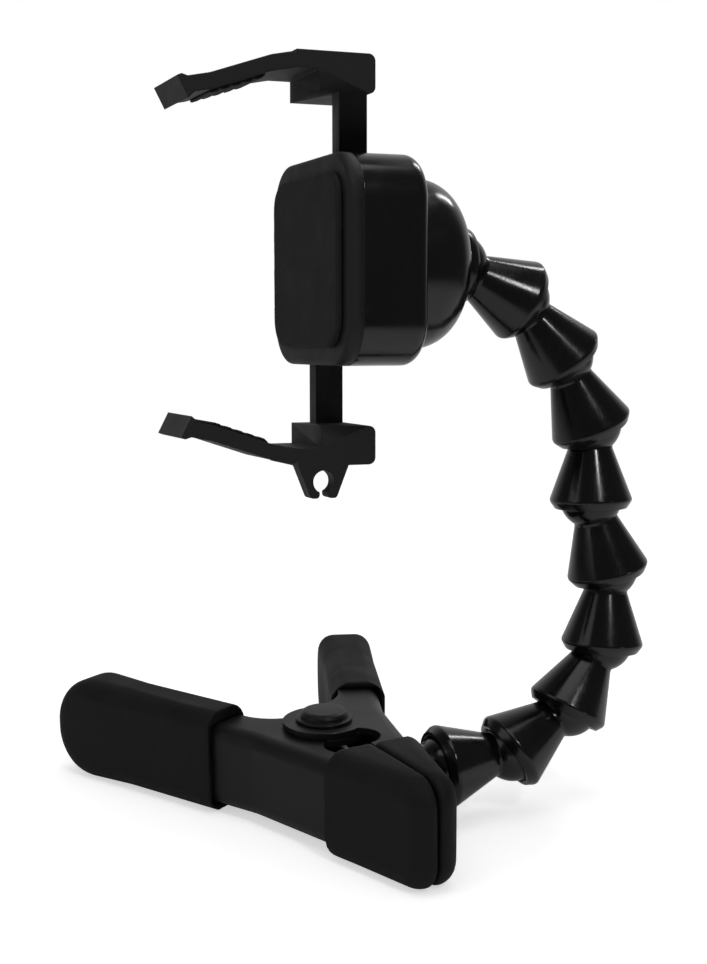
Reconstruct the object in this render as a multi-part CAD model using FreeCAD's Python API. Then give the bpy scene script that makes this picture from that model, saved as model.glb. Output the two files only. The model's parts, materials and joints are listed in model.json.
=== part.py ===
"""Spring-clamp holder with a ball-and-socket arm and a two-jaw cradle. Millimetres, +Z up."""
import FreeCAD
import Part
import math
import os

V = FreeCAD.Vector

# Spring clamp: two pressed-steel halves that lie on their side, pivot upright.
SHEET = 1.2            # steel sheet
CHANNEL = 15.6         # outside height of each U-shaped half
EAR_GAP = 0.1          # play between the overlapping pivot ears
VINYL = 1.5            # wall of the slip-on grips and jaw pads
JAW_TIP_X = 38.2       # steel jaw tip from the pivot
JAW_TIP_Y = 2.8        # half width of the steel at the jaw tip
JAW_TAPER = 15.5       # slope of the jaw's outer wall, degrees
SHOULDER_X = -2.0      # bend between jaw and handle
SHOULDER_BEND = 15.0   # radius of that bend
FOLD_R = 2.8           # outside radius where the wall folds into the flanges
HANDLE_RISE = 24.5     # slope of the handle's outer wall, degrees
HANDLE_LENGTH = 45.0   # steel handle from the bend
HANDLE_FLANGE = 8.0    # depth of the handle's flanges
EAR_R = 7.6            # rounded pivot ears
EAR_ROOT_GAP = 0.4     # ear's root short of the grip
EAR_BOW = 1.6          # hollow of the curve from the ear to the handle
THROAT_X = 14.6        # where the jaws close up behind the pads
THROAT_BOW = 2.9       # hollow of the open throat
THROAT_TURN = 25.0     # where the throat's curve leaves the ear, degrees
PAD_LENGTH = 22.0      # jaw pad along the jaw
PAD_GAP = 0.3          # between the closed jaw pads
PAD_LIP = 1.3          # pad wall on the gripping side
PAD_ROUND = 3.9        # rounded outer edges of the pads
PAD_NOSE = 5.0         # rounded corners of the pads' tips
PAD_SOFT = 0.8         # edges of the gripping face
GRIP_COVER = 36.0      # handle grip over the steel
GRIP_ROUND = 9.3       # rounded free end of the grip
GRIP_EDGE = 2.8        # soft edges of the grip
RIVET_R = 2.4
RIVET_COLLAR_R = 5.2
RIVET_COLLAR_H = 0.7
RIVET_HEAD_R = 4.4
RIVET_HEAD_H = 2.0
RIVET_TAIL_R = 3.9
RIVET_TAIL_H = 1.0
RIVET_PLAY = 0.05
SPRING_R = 4.6         # mean coil radius of the torsion spring
SPRING_WIRE = 1.4
SPRING_PITCH = 1.6     # close-wound coil
SPRING_TURNS = 3       # whole turns, before the part turn between the legs
SPRING_LEG_LENGTH = 21.0
SPRING_CLEAR = 0.7     # between the end of a leg and the handle's wall
CLAMP_TURN = 8.0       # the clamp's turn under the arm, degrees

# Ball stud on the rear half's wall.
STUD_GAP = 0.6         # between the stud's foot and the jaw pad
STUD_REACH = 7.6       # wall to ball centre
STUD_FLANGE_R = 5.0
STUD_FLANGE_H = 2.0
STUD_SCREW_R = 1.9
STUD_SCREW_LENGTH = 5.0
STUD_HEAD_R = 3.4
STUD_HEAD_H = 1.6

# Ball-and-socket arm.
PITCH = 13.8           # ball centre to socket centre
BALL_R = 5.8
BALL_PLAY = 0.06       # radial running fit of each ball
ARM_BORE_R = 2.9
NECK_R = 4.1
NECK_LENGTH = 4.6      # ball centre to the foot of the cone
RIM_R = 7.7
RIM_TAPER = 1.5        # length of the rim's drawn-in end
RIM_END_R = 6.7
RIM_ROUND = 1.0        # rounded rim
LIP = 1.3              # socket past the ball's centre
MOUTH = 0.6            # flared mouth past the lip
MOUTH_R = 6.1
LINK_ANGLES = [62.0, 39.0, 24.0, -1.0, 13.0, -6.0, -33.0, -60.5, -85.0]
LEAN = 5.4             # the arm leans about the stud's level axis, degrees

# Cradle, in its own directions: x along the held edge, y to the back, z across.
TILT = 2.4             # the seat faces a little upwards, degrees
SEAT_DEPTH = 28.6      # seat face to the hub ball's centre
BACK_PAD = 1.2
COVER = 2.5
SHELL_DEPTH = 12.0
HOUSING_X = 38.0
HOUSING_Z = 35.0
HOUSING_R = 8.0
HOUSING_EDGE = 2.5
PAD_INSET = 3.0        # back pad inside the housing's outline
DOME_R = 14.8
DOME_STRAIGHT = 4.5
DOME_WALL = 0.7        # thin end of the dome round the hub socket
HUB_R = 6.75
HUB_PLAY = 0.05
HUB_SLEEVE = 7.2
HUB_FLANGE_R = 8.6
HUB_FLANGE_H = 2.0
HUB_RELIEF = 0.4
HUB_RIM_R = 7.1
HUB_RIM_FRONT = 0.8    # front of the hub's rim from the ball's centre
JAW_WIDTH = 15.0
GRIP_OPENING = 58.6    # between the jaws at rest, at the level of the gripped edge
GRIP_LEVEL = 9.3       # that level in front of the seat
JAW_WALL = 2.7         # jaw arm, measured across the jaws
JAW_SLOPE = 18.5       # the arms lean in towards the front, degrees
JAW_END_SLOPE = 11.0   # less at both ends, degrees
JAW_BEND_BACK = 8.0    # the two bends of the arm, in front of the seat
JAW_BEND_FRONT = 18.4
JAW_BEND_R = 5.0
JAW_FRONT = 23.8       # reach of the jaws in front of the seat
LIP_BUMP = 0.5         # lip proud of the arm's outside
LIP_WIDTH = 1.7        # bump along the arm
LIP_SLANT = 1.8        # lead-in slope of the lip's front
LIP_FOOT = 2.9         # lip's inner foot behind its front
LIP_DROP = 1.0         # hooked lip below the jaw's inner face
BLOCK_FRONT = 3.6      # root block, in front of the seat
BLOCK_BACK = 10.3      # root block, behind the seat
BLOCK_HEIGHT = 6.6
BLOCK_STEP = 0.3       # block stands proud of the jaw arm
BLOCK_NOTCH = 0.7      # notch between the arm and its block
BLOCK_EDGE = 1.2
SEAT_CLEAR = 0.4       # block behind the seat's plane
JAW_PAD = 0.7
JAW_PAD_END = 0.4      # pad short of the arm's bends
JAW_PAD_WIDTH = 12.0
JAW_PAD_RIBS = 5
RIB_DEPTH = 0.4
TONGUE = 5.0           # thickness of the sliding racks
TONGUE_X = 7.4         # outer side of each rack
TONGUE_TIP = 12.4      # rack past the pinion's axis
SLIDE_PLAY = 0.1
PINION_PITCH_R = 3.2
PINION_TEETH = 8
PINION_PIN_R = 1.2
TOOTH_TIP = 0.5
TOOTH_FLANK = 20.0     # pressure angle, degrees
TOOTH_THICK = 0.95     # at the pitch line, with play
CLIP_WIDTH = 9.0       # cord clip under the lower block
CLIP_FOOT = 4.6
CLIP_HEIGHT = 5.5
CLIP_THICK = 3.0
CLIP_HOLE_R = 1.9
CLIP_HOLE_DROP = 2.7
CLIP_GAP = 1.5
CLIP_EDGE = 0.6        # rounded ends of the clip's two fingers

NEST = SHEET + EAR_GAP
SLEEVE_HEIGHT = 2.0 * VINYL + CHANNEL + NEST
FRONT_Z = VINYL
REAR_Z = VINYL + NEST
TAN_JAW = math.tan(math.radians(JAW_TAPER))
COS_JAW = math.cos(math.radians(JAW_TAPER))
SIN_JAW = math.sin(math.radians(JAW_TAPER))
COS_HANDLE = math.cos(math.radians(HANDLE_RISE))
SIN_HANDLE = math.sin(math.radians(HANDLE_RISE))
SHOULDER_Y = JAW_TIP_Y + (JAW_TIP_X - SHOULDER_X) * TAN_JAW


def face_of(points):
    """Flat face from a closed outline of points."""
    vectors = [V(*p) for p in points]
    return Part.Face(Part.makePolygon(vectors + [vectors[0]]))


def plan_prism(points, z_low, z_high):
    """Upright prism over an outline given in plan."""
    face = face_of([(x, y, z_low) for x, y in points])
    return face.extrude(V(0, 0, z_high - z_low))


def lathe(profile):
    """Solid of revolution about Z from (radius, height) points."""
    face = face_of([(r, 0, z) for r, z in profile])
    return face.revolve(V(0, 0, 0), V(0, 0, 1), 360)


def bowed(start, end, bow):
    """Arc in plan from start to end that bulges to the right of that way."""
    step_x = end[0] - start[0]
    step_y = end[1] - start[1]
    length = math.hypot(step_x, step_y)
    middle_x = (start[0] + end[0]) / 2.0 + bow * step_y / length
    middle_y = (start[1] + end[1]) / 2.0 - bow * step_x / length
    return Part.Arc(V(start[0], start[1], 0), V(middle_x, middle_y, 0), V(end[0], end[1], 0)).toShape()


def rounded_block(x_size, z_size, depth, radius):
    """Plate centred in x and z, rounded corners, from y = 0 back to depth."""
    block = Part.makeBox(x_size, depth, z_size, V(-x_size / 2.0, 0, -z_size / 2.0))
    corners = [e for e in block.Edges if abs(e.tangentAt(e.FirstParameter).y) > 0.99]
    return block.makeFillet(radius, corners)


def edges_where(shape, test):
    """Edges of a shape whose midpoint passes a test."""
    chosen = []
    for edge in shape.Edges:
        middle = edge.valueAt((edge.FirstParameter + edge.LastParameter) / 2.0)
        if test(edge, middle):
            chosen.append(edge)
    return chosen


def mirrored(shape):
    """The same shape on the clamp's other side."""
    return shape.mirror(V(0, 0, 0), V(0, 1, 0))


def wall_y(x):
    """Outer wall of the rear jaw at a distance along the jaw."""
    return JAW_TIP_Y + (JAW_TIP_X - x) * TAN_JAW


# Outline of one clamp half in plan, jaws along +X.
SHOULDER = (SHOULDER_X, SHOULDER_Y)
JAW_TIP = (JAW_TIP_X, JAW_TIP_Y)
HANDLE_END = (
    SHOULDER_X - HANDLE_LENGTH * COS_HANDLE,
    SHOULDER_Y + HANDLE_LENGTH * SIN_HANDLE,
)
HANDLE_INNER = (
    HANDLE_END[0] - HANDLE_FLANGE * SIN_HANDLE,
    HANDLE_END[1] - HANDLE_FLANGE * COS_HANDLE,
)
SHOULDER_INNER = (
    SHOULDER_X - HANDLE_FLANGE * SIN_HANDLE,
    SHOULDER_Y - HANDLE_FLANGE * COS_HANDLE,
)
JAW_INNER_Y = PAD_GAP / 2.0 + PAD_LIP
PAD_BACK_X = JAW_TIP_X + VINYL - PAD_LENGTH


def bent_block(inset, z_low, z_high, fold_r):
    """All that lies inside one half's bent wall, less an inset, with rounded folds."""
    lean = math.radians((HANDLE_RISE + JAW_TAPER) / 2.0)
    step = inset / math.cos(math.radians((HANDLE_RISE - JAW_TAPER) / 2.0))
    bend = (SHOULDER_X - step * math.sin(lean), SHOULDER_Y - step * math.cos(lean))
    far = 2.0 * HANDLE_LENGTH
    block = plan_prism(
        [
            (bend[0] + far * COS_JAW, bend[1] - far * SIN_JAW),
            bend,
            (bend[0] - far * COS_HANDLE, bend[1] + far * SIN_HANDLE),
            (bend[0] - far, -far),
            (bend[0] + far, -far),
        ],
        z_low,
        z_high,
    )
    upright = edges_where(
        block, lambda e, m: abs(m.x - bend[0]) < 1e-6 and abs(m.y - bend[1]) < 1e-6
    )
    block = block.makeFillet(SHOULDER_BEND + inset, upright)

    def on_fold(edge, middle):
        away = middle.x - bend[0]
        slope = TAN_JAW if away > 0 else math.tan(math.radians(HANDLE_RISE))
        level = abs(middle.z - z_low) < 1e-6 or abs(middle.z - z_high) < 1e-6
        return level and abs(middle.y - bend[1] + away * slope) < 0.01 * SHOULDER_BEND

    return block.makeFillet(fold_r, edges_where(block, on_fold))


def half_outline(z_base):
    """One half's outline in plan as a block: jaw, throat, pivot ear and handle."""
    throat = (THROAT_X, JAW_INNER_Y)
    turn = math.radians(THROAT_TURN)
    ear_front = (EAR_R * math.cos(turn), EAR_R * math.sin(turn))
    ear_back = (-EAR_R * math.cos(0.5 * turn), EAR_R * math.sin(0.5 * turn))
    along = HANDLE_LENGTH - GRIP_COVER - EAR_ROOT_GAP
    root = (SHOULDER_INNER[0] - along * COS_HANDLE, SHOULDER_INNER[1] + along * SIN_HANDLE)
    outside = HANDLE_FLANGE
    corners = [
        root,
        HANDLE_INNER,
        (HANDLE_END[0] + outside * SIN_HANDLE, HANDLE_END[1] + outside * COS_HANDLE),
        (JAW_TIP_X, SHOULDER_Y + outside),
        (JAW_TIP_X, JAW_INNER_Y),
        throat,
    ]
    edges = []
    for start, end in zip(corners, corners[1:]):
        edges.append(Part.makeLine(V(start[0], start[1], 0), V(end[0], end[1], 0)))
    edges.append(bowed(throat, ear_front, THROAT_BOW))
    under = V(0, -EAR_R, 0)
    edges.append(
        Part.Arc(V(ear_front[0], ear_front[1], 0), under, V(ear_back[0], ear_back[1], 0)).toShape()
    )
    edges.append(bowed(ear_back, root, EAR_BOW))
    block = Part.Face(Part.Wire(edges)).extrude(V(0, 0, CHANNEL))
    block.translate(V(0, 0, z_base))
    tip = edges_where(
        block,
        lambda e, m: abs(m.x - JAW_TIP_X) < 1e-6 and abs(e.tangentAt(e.FirstParameter).y) > 0.99,
    )
    return block.makeFillet(PAD_NOSE - VINYL, tip)


def clamp_half(z_base):
    """Pressed half: outer wall, two flanges with rounded pivot ears and a curved throat."""
    body = half_outline(z_base).common(bent_block(0.0, z_base, z_base + CHANNEL, FOLD_R))
    pocket = bent_block(SHEET, z_base + SHEET, z_base + CHANNEL - SHEET, FOLD_R - SHEET)
    hole = Part.makeCylinder(RIVET_R + RIVET_PLAY, CHANNEL, V(0, 0, z_base))
    return body.cut(pocket).cut(hole)


def handle_frame(shape):
    """Place a piece made along x from the bend onto the rear handle."""
    shape.Placement = FreeCAD.Placement(
        V(SHOULDER_X, SHOULDER_Y, 0), FreeCAD.Rotation(V(0, 0, 1), 180.0 - HANDLE_RISE)
    ).multiply(shape.Placement)
    return shape


def handle_grip(z_base):
    """Slip-on vinyl sleeve with a rounded closed end."""
    start = HANDLE_LENGTH - GRIP_COVER
    length = GRIP_COVER + 3.0 * VINYL
    depth = HANDLE_FLANGE + 2.0 * VINYL
    block = Part.makeBox(length, depth, SLEEVE_HEIGHT, V(start, -VINYL, 0))
    end_x = start + length
    ends = edges_where(
        block,
        lambda e, m: abs(m.x - end_x) < 1e-6 and abs(m.y - (depth / 2.0 - VINYL)) < 1e-6,
    )
    block = block.makeFillet(GRIP_ROUND, ends)
    rim = edges_where(
        block,
        lambda e, m: abs(m.x - start) > 1e-6
        and (abs(m.y + VINYL) < 1e-6 or abs(m.y - (depth - VINYL)) < 1e-6),
    )
    block = block.makeFillet(GRIP_EDGE, rim)
    room = Part.makeBox(GRIP_COVER, HANDLE_FLANGE, CHANNEL, V(start, 0, z_base))
    return handle_frame(block.cut(room))


def jaw_pad(z_base):
    """Slip-on vinyl cap over the jaw's end."""
    out = VINYL / COS_JAW
    tip_x = JAW_TIP_X + VINYL
    outline = [
        (tip_x, PAD_GAP / 2.0),
        (PAD_BACK_X, PAD_GAP / 2.0),
        (PAD_BACK_X, wall_y(PAD_BACK_X) + out),
        (tip_x, wall_y(tip_x) + out),
    ]
    block = plan_prism(outline, 0.0, SLEEVE_HEIGHT)
    nose = edges_where(
        block,
        lambda e, m: abs(m.x - tip_x) < 1e-6 and abs(e.tangentAt(e.FirstParameter).y) > 0.99,
    )
    block = block.makeFillet(PAD_NOSE, nose)
    outer = edges_where(
        block,
        lambda e, m: m.x > PAD_BACK_X + 1e-3 and abs(m.y - wall_y(m.x) - out) < 1e-3,
    )
    block = block.makeFillet(PAD_ROUND, outer)
    inner = edges_where(
        block,
        lambda e, m: m.x > PAD_BACK_X + 1e-3 and abs(m.y - PAD_GAP / 2.0) < 1e-6,
    )
    block = block.makeFillet(PAD_SOFT, inner)
    room = plan_prism(
        [
            (JAW_TIP_X, JAW_INNER_Y),
            (PAD_BACK_X - VINYL, JAW_INNER_Y),
            (PAD_BACK_X - VINYL, wall_y(PAD_BACK_X - VINYL)),
            JAW_TIP,
        ],
        z_base,
        z_base + CHANNEL,
    )
    tip = edges_where(
        room,
        lambda e, m: abs(m.x - JAW_TIP_X) < 1e-6 and abs(e.tangentAt(e.FirstParameter).y) > 0.99,
    )
    return block.cut(room.makeFillet(PAD_NOSE - VINYL, tip))


def pivot_rivet():
    """Flat round head on a collar above, shank, and a small tail head below."""
    top = REAR_Z + CHANNEL
    collar = Part.makeCylinder(RIVET_COLLAR_R, RIVET_COLLAR_H, V(0, 0, top))
    rim = edges_where(collar, lambda e, m: abs(m.z - top - RIVET_COLLAR_H) < 1e-6)
    collar = collar.makeFillet(0.5 * RIVET_COLLAR_H, rim)
    head = Part.makeCylinder(RIVET_HEAD_R, RIVET_HEAD_H, V(0, 0, top))
    edge = edges_where(head, lambda e, m: abs(m.z - top - RIVET_HEAD_H) < 1e-6)
    head = head.makeFillet(0.9 * (RIVET_HEAD_H - RIVET_COLLAR_H), edge)
    shank = Part.makeCylinder(RIVET_R, CHANNEL + NEST, V(0, 0, FRONT_Z))
    tail = Part.makeCone(
        RIVET_TAIL_R - 0.4 * RIVET_TAIL_H, RIVET_TAIL_R, RIVET_TAIL_H, V(0, 0, FRONT_Z - RIVET_TAIL_H)
    )
    return collar.fuse(head).fuse(shank).fuse(tail).removeSplitter()


def spring_leg():
    """Direction of the legs, degrees from the jaws: each ends just inside its handle's wall."""
    rise = math.radians(HANDLE_RISE)
    wall = SHOULDER_X * math.sin(rise) + SHOULDER_Y * math.cos(rise) - SHEET
    reach = math.hypot(SPRING_LEG_LENGTH, SPRING_R)
    room = wall - SPRING_WIRE / 2.0 - SPRING_CLEAR
    steep = math.pi - math.asin(room / reach) + math.atan2(SPRING_R, SPRING_LEG_LENGTH)
    return math.degrees(steep) - HANDLE_RISE


def torsion_spring():
    """Close-wound coil round the rivet with one leg along the inside of each handle."""
    start = spring_leg() - 90.0
    turns = SPRING_TURNS + 2.0 * start / 360.0
    height = SPRING_PITCH * turns
    rise = math.atan2(SPRING_PITCH, 2.0 * math.pi * SPRING_R)
    helix = Part.makeHelix(SPRING_PITCH, height, SPRING_R, 0, True)
    along = V(0, -math.cos(rise), math.sin(rise))
    ring = Part.Wire(Part.makeCircle(SPRING_WIRE / 2.0, V(SPRING_R, 0, 0), along))
    coil = Part.Wire(helix.Edges).makePipeShell([ring], True, True)
    rear_leg = Part.makeCylinder(SPRING_WIRE / 2.0, SPRING_LEG_LENGTH, V(SPRING_R, 0, 0), -along)
    front_leg = Part.makeCylinder(SPRING_WIRE / 2.0, SPRING_LEG_LENGTH, V(SPRING_R, 0, 0), along)
    front_leg.rotate(V(0, 0, 0), V(0, 0, 1), -360.0 * turns)
    front_leg.translate(V(0, 0, height))
    spring = coil.fuse(rear_leg).fuse(front_leg)
    middle = (REAR_Z + FRONT_Z + CHANNEL) / 2.0
    spring.rotate(V(0, 0, 0), V(0, 0, 1), start)
    spring.translate(V(0, 0, middle - height / 2.0))
    return spring


def socket_room(centre_z):
    """Spherical socket with its flared mouth."""
    inner_r = BALL_R + BALL_PLAY
    lip_r = math.sqrt(inner_r ** 2 - LIP ** 2)
    room = Part.makeSphere(inner_r, V(0, 0, centre_z))
    mouth = Part.makeCone(lip_r, MOUTH_R, MOUTH, V(0, 0, centre_z + LIP))
    return room.fuse(mouth)


def arm_link():
    """One hollow link: ball at the origin, conical cup round the next ball."""
    rim_end = PITCH + LIP + MOUTH
    rim_z = rim_end - RIM_TAPER
    body = lathe([
        (0, 0),
        (NECK_R, 0),
        (NECK_R, NECK_LENGTH),
        (RIM_R, rim_z),
        (RIM_END_R, rim_end),
        (0, rim_end),
    ])
    rim = edges_where(body, lambda e, m: abs(m.z - rim_z) < 1e-6 and math.hypot(m.x, m.y) > NECK_R)
    body = body.makeFillet(RIM_ROUND, rim)
    body = body.fuse(Part.makeSphere(BALL_R))
    body = body.cut(socket_room(PITCH))
    bore = Part.makeCylinder(ARM_BORE_R, PITCH + BALL_R, V(0, 0, -BALL_R))
    return body.cut(bore)


def ball_stud():
    """Round foot, neck and ball, foot face at z = 0."""
    post = lathe([
        (0, 0),
        (STUD_FLANGE_R, 0),
        (STUD_FLANGE_R, 0.6 * STUD_FLANGE_H),
        (NECK_R, STUD_FLANGE_H),
        (NECK_R, STUD_REACH),
        (0, STUD_REACH),
    ])
    ball = Part.makeSphere(BALL_R, V(0, 0, STUD_REACH))
    blind = Part.makeCylinder(STUD_SCREW_R, STUD_SCREW_LENGTH)
    dimple = Part.makeCylinder(ARM_BORE_R, BALL_R, V(0, 0, STUD_REACH + 0.5 * BALL_R))
    return post.fuse(ball).cut(blind).cut(dimple)


def stud_screw():
    """Pan-head screw from inside the channel, through the wall into the stud."""
    shank = Part.makeCylinder(STUD_SCREW_R, STUD_SCREW_LENGTH + SHEET, V(0, 0, -SHEET))
    head = Part.makeCylinder(STUD_HEAD_R, STUD_HEAD_H, V(0, 0, -SHEET - STUD_HEAD_H))
    rim = edges_where(head, lambda e, m: abs(m.z + SHEET + STUD_HEAD_H) < 1e-6)
    return head.makeFillet(0.4 * STUD_HEAD_H, rim).fuse(shank)


SHELL_FRONT = BACK_PAD + COVER
SHELL_BACK = SHELL_FRONT + SHELL_DEPTH
DOME_END = SEAT_DEPTH - HUB_RELIEF - HUB_RIM_FRONT
TRACK_FRONT = SHELL_FRONT + SLIDE_PLAY
TRACK_BACK = TRACK_FRONT + TONGUE + SLIDE_PLAY
HUB_INNER = DOME_END - HUB_SLEEVE
ALONG_Y = FreeCAD.Rotation(V(1, 0, 0), -90)


def turned_to_back(shape, y):
    """Place a lathe piece so that its axis runs to the back from y."""
    shape.Placement = FreeCAD.Placement(V(0, y, 0), ALONG_Y).multiply(shape.Placement)
    return shape


def rear_shell():
    """Housing with a domed back, the jaw track and the hub's seat."""
    box = rounded_block(HOUSING_X, HOUSING_Z, SHELL_DEPTH, HOUSING_R)
    back = edges_where(box, lambda e, m: abs(m.y - SHELL_DEPTH) < 1e-6)
    box = box.makeFillet(HOUSING_EDGE, back)
    box.translate(V(0, SHELL_FRONT, 0))
    end_r = HUB_R + HUB_PLAY + DOME_WALL
    straight = SHELL_BACK + DOME_STRAIGHT
    round_x = DOME_R - end_r
    round_y = DOME_END - straight
    lean = math.sqrt(0.5)
    middle = (end_r + round_x * lean, straight + round_y * lean)
    start = V(DOME_R, 0, straight)
    end = V(end_r, 0, DOME_END)
    arc = Part.Arc(start, V(middle[0], 0, middle[1]), end).toShape()
    sides = [
        Part.makeLine(V(0, 0, SHELL_FRONT + HOUSING_EDGE), V(DOME_R, 0, SHELL_FRONT + HOUSING_EDGE)),
        Part.makeLine(V(DOME_R, 0, SHELL_FRONT + HOUSING_EDGE), start),
        arc,
        Part.makeLine(end, V(0, 0, DOME_END)),
        Part.makeLine(V(0, 0, DOME_END), V(0, 0, SHELL_FRONT + HOUSING_EDGE)),
    ]
    dome = Part.Face(Part.Wire(sides)).revolve(V(0, 0, 0), V(0, 0, 1), 360)
    shell = box.fuse(turned_to_back(dome, 0.0)).removeSplitter()
    track_x = TONGUE_X + SLIDE_PLAY
    track = Part.makeBox(
        2.0 * track_x,
        TRACK_BACK - SHELL_FRONT,
        2.0 * HOUSING_Z,
        V(-track_x, SHELL_FRONT, -HOUSING_Z),
    )
    bore = turned_to_back(Part.makeCylinder(HUB_R + HUB_PLAY, HUB_SLEEVE), HUB_INNER)
    seat = turned_to_back(
        Part.makeCylinder(HUB_FLANGE_R + HUB_RELIEF, HUB_INNER - SHELL_FRONT), SHELL_FRONT
    )
    return shell.cut(track).cut(bore).cut(seat)


def front_cover():
    """Flat cover with the pinion's pin."""
    plate = rounded_block(HOUSING_X, HOUSING_Z, COVER, HOUSING_R)
    front = edges_where(plate, lambda e, m: abs(m.y) < 1e-6)
    plate = plate.makeFillet(0.4 * COVER, front)
    plate.translate(V(0, BACK_PAD, 0))
    pin = turned_to_back(Part.makeCylinder(PINION_PIN_R, TONGUE), SHELL_FRONT)
    return plate.fuse(pin)


def back_pad():
    """Thin rubber seat on the cover."""
    pad = rounded_block(
        HOUSING_X - 2.0 * PAD_INSET,
        HOUSING_Z - 2.0 * PAD_INSET,
        BACK_PAD,
        HOUSING_R - PAD_INSET,
    )
    front = edges_where(pad, lambda e, m: abs(m.y) < 1e-6)
    return pad.makeFillet(0.4 * BACK_PAD, front)


def hub_socket():
    """Turning socket: flange in the housing, sleeve in the dome, rim behind it. Axis +Z, ball at 0."""
    inner = HUB_INNER - SEAT_DEPTH
    rim_low = -HUB_RIM_FRONT
    rim_end = LIP + MOUTH
    rim_z = rim_end - RIM_TAPER
    body = lathe([
        (0, inner - HUB_FLANGE_H - HUB_RELIEF),
        (HUB_FLANGE_R, inner - HUB_FLANGE_H - HUB_RELIEF),
        (HUB_FLANGE_R, inner - HUB_RELIEF),
        (HUB_R, inner - HUB_RELIEF),
        (HUB_R, rim_low),
        (HUB_RIM_R, rim_low),
        (HUB_RIM_R, rim_z),
        (0.5 * (RIM_END_R + MOUTH_R), rim_end),
        (0, rim_end),
    ])
    rim = edges_where(body, lambda e, m: abs(m.z - rim_z) < 1e-6 and math.hypot(m.x, m.y) > HUB_R)
    body = body.makeFillet(RIM_ROUND, rim)
    return body.cut(socket_room(0.0))


def tooth_half_width(height):
    """Half width of a rack tooth at a height above the pitch line."""
    return TOOTH_THICK / 2.0 - height * math.tan(math.radians(TOOTH_FLANK))


MODULE = 2.0 * PINION_PITCH_R / PINION_TEETH
ADDENDUM = 0.85 * MODULE
DEDENDUM = 1.2 * MODULE
RACK_ROOT = PINION_PITCH_R + DEDENDUM
TOOTH_PITCH = math.pi * MODULE


def rack_tongue():
    """Sliding rack of the upper jaw: teeth face the pinion at x = 0, gap at z = 0."""
    top = BLOCK_TOP - 0.5 * BLOCK_HEIGHT
    y = TRACK_FRONT
    tongue = Part.makeBox(TONGUE_X - RACK_ROOT, TONGUE, top + TONGUE_TIP, V(RACK_ROOT, y, -TONGUE_TIP))
    low = int(math.floor((TONGUE_TIP - TOOTH_PITCH) / TOOTH_PITCH))
    teeth = []
    for n in range(-low, low + 1):
        z = (n + 0.5) * TOOTH_PITCH
        root = tooth_half_width(-DEDENDUM)
        tip = tooth_half_width(ADDENDUM)
        face = face_of([
            (RACK_ROOT + 0.2, y, z - root),
            (RACK_ROOT, y, z - root),
            (PINION_PITCH_R - ADDENDUM, y, z - tip),
            (PINION_PITCH_R - ADDENDUM, y, z + tip),
            (RACK_ROOT, y, z + root),
            (RACK_ROOT + 0.2, y, z + root),
        ])
        teeth.append(face.extrude(V(0, TONGUE, 0)))
    return tongue.multiFuse(teeth).removeSplitter()


def jaw_pinion():
    """Small gear between the two racks."""
    y = TRACK_FRONT
    root_r = PINION_PITCH_R - DEDENDUM
    tip_r = PINION_PITCH_R + ADDENDUM
    gear = Part.makeCylinder(root_r, TONGUE, V(0, y, 0), V(0, 1, 0))
    teeth = []
    for n in range(PINION_TEETH):
        root = 0.9 * tooth_half_width(-DEDENDUM)
        tip = tooth_half_width(ADDENDUM)
        face = face_of([
            (0.6 * root_r, y, -root),
            (PINION_PITCH_R, y, -TOOTH_THICK / 2.0),
            (tip_r, y, -tip),
            (tip_r, y, tip),
            (PINION_PITCH_R, y, TOOTH_THICK / 2.0),
            (0.6 * root_r, y, root),
        ])
        tooth = face.extrude(V(0, TONGUE, 0))
        tooth.rotate(V(0, 0, 0), V(0, 1, 0), 360.0 * n / PINION_TEETH)
        teeth.append(tooth)
    gear = gear.multiFuse(teeth).removeSplitter()
    bore = Part.makeCylinder(PINION_PIN_R + HUB_PLAY, TONGUE, V(0, y, 0), V(0, 1, 0))
    return gear.cut(bore)


TAN_SLOPE = math.tan(math.radians(JAW_SLOPE))
COS_SLOPE = math.cos(math.radians(JAW_SLOPE))
SIN_SLOPE = math.sin(math.radians(JAW_SLOPE))
TAN_END = math.tan(math.radians(JAW_END_SLOPE))


def jaw_inner_z(front):
    """Inner face of the jaw arm at a distance in front of the seat, without its pad."""
    middle = min(max(front, JAW_BEND_BACK), JAW_BEND_FRONT)
    z = GRIP_OPENING / 2.0 + JAW_PAD / COS_SLOPE + (GRIP_LEVEL - middle) * TAN_SLOPE
    return z + (middle - front) * TAN_END


def jaw_outer_z(front):
    """Outer face of the jaw arm."""
    return jaw_inner_z(front) + JAW_WALL


BLOCK_TOP = jaw_outer_z(BLOCK_FRONT) + BLOCK_STEP


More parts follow.
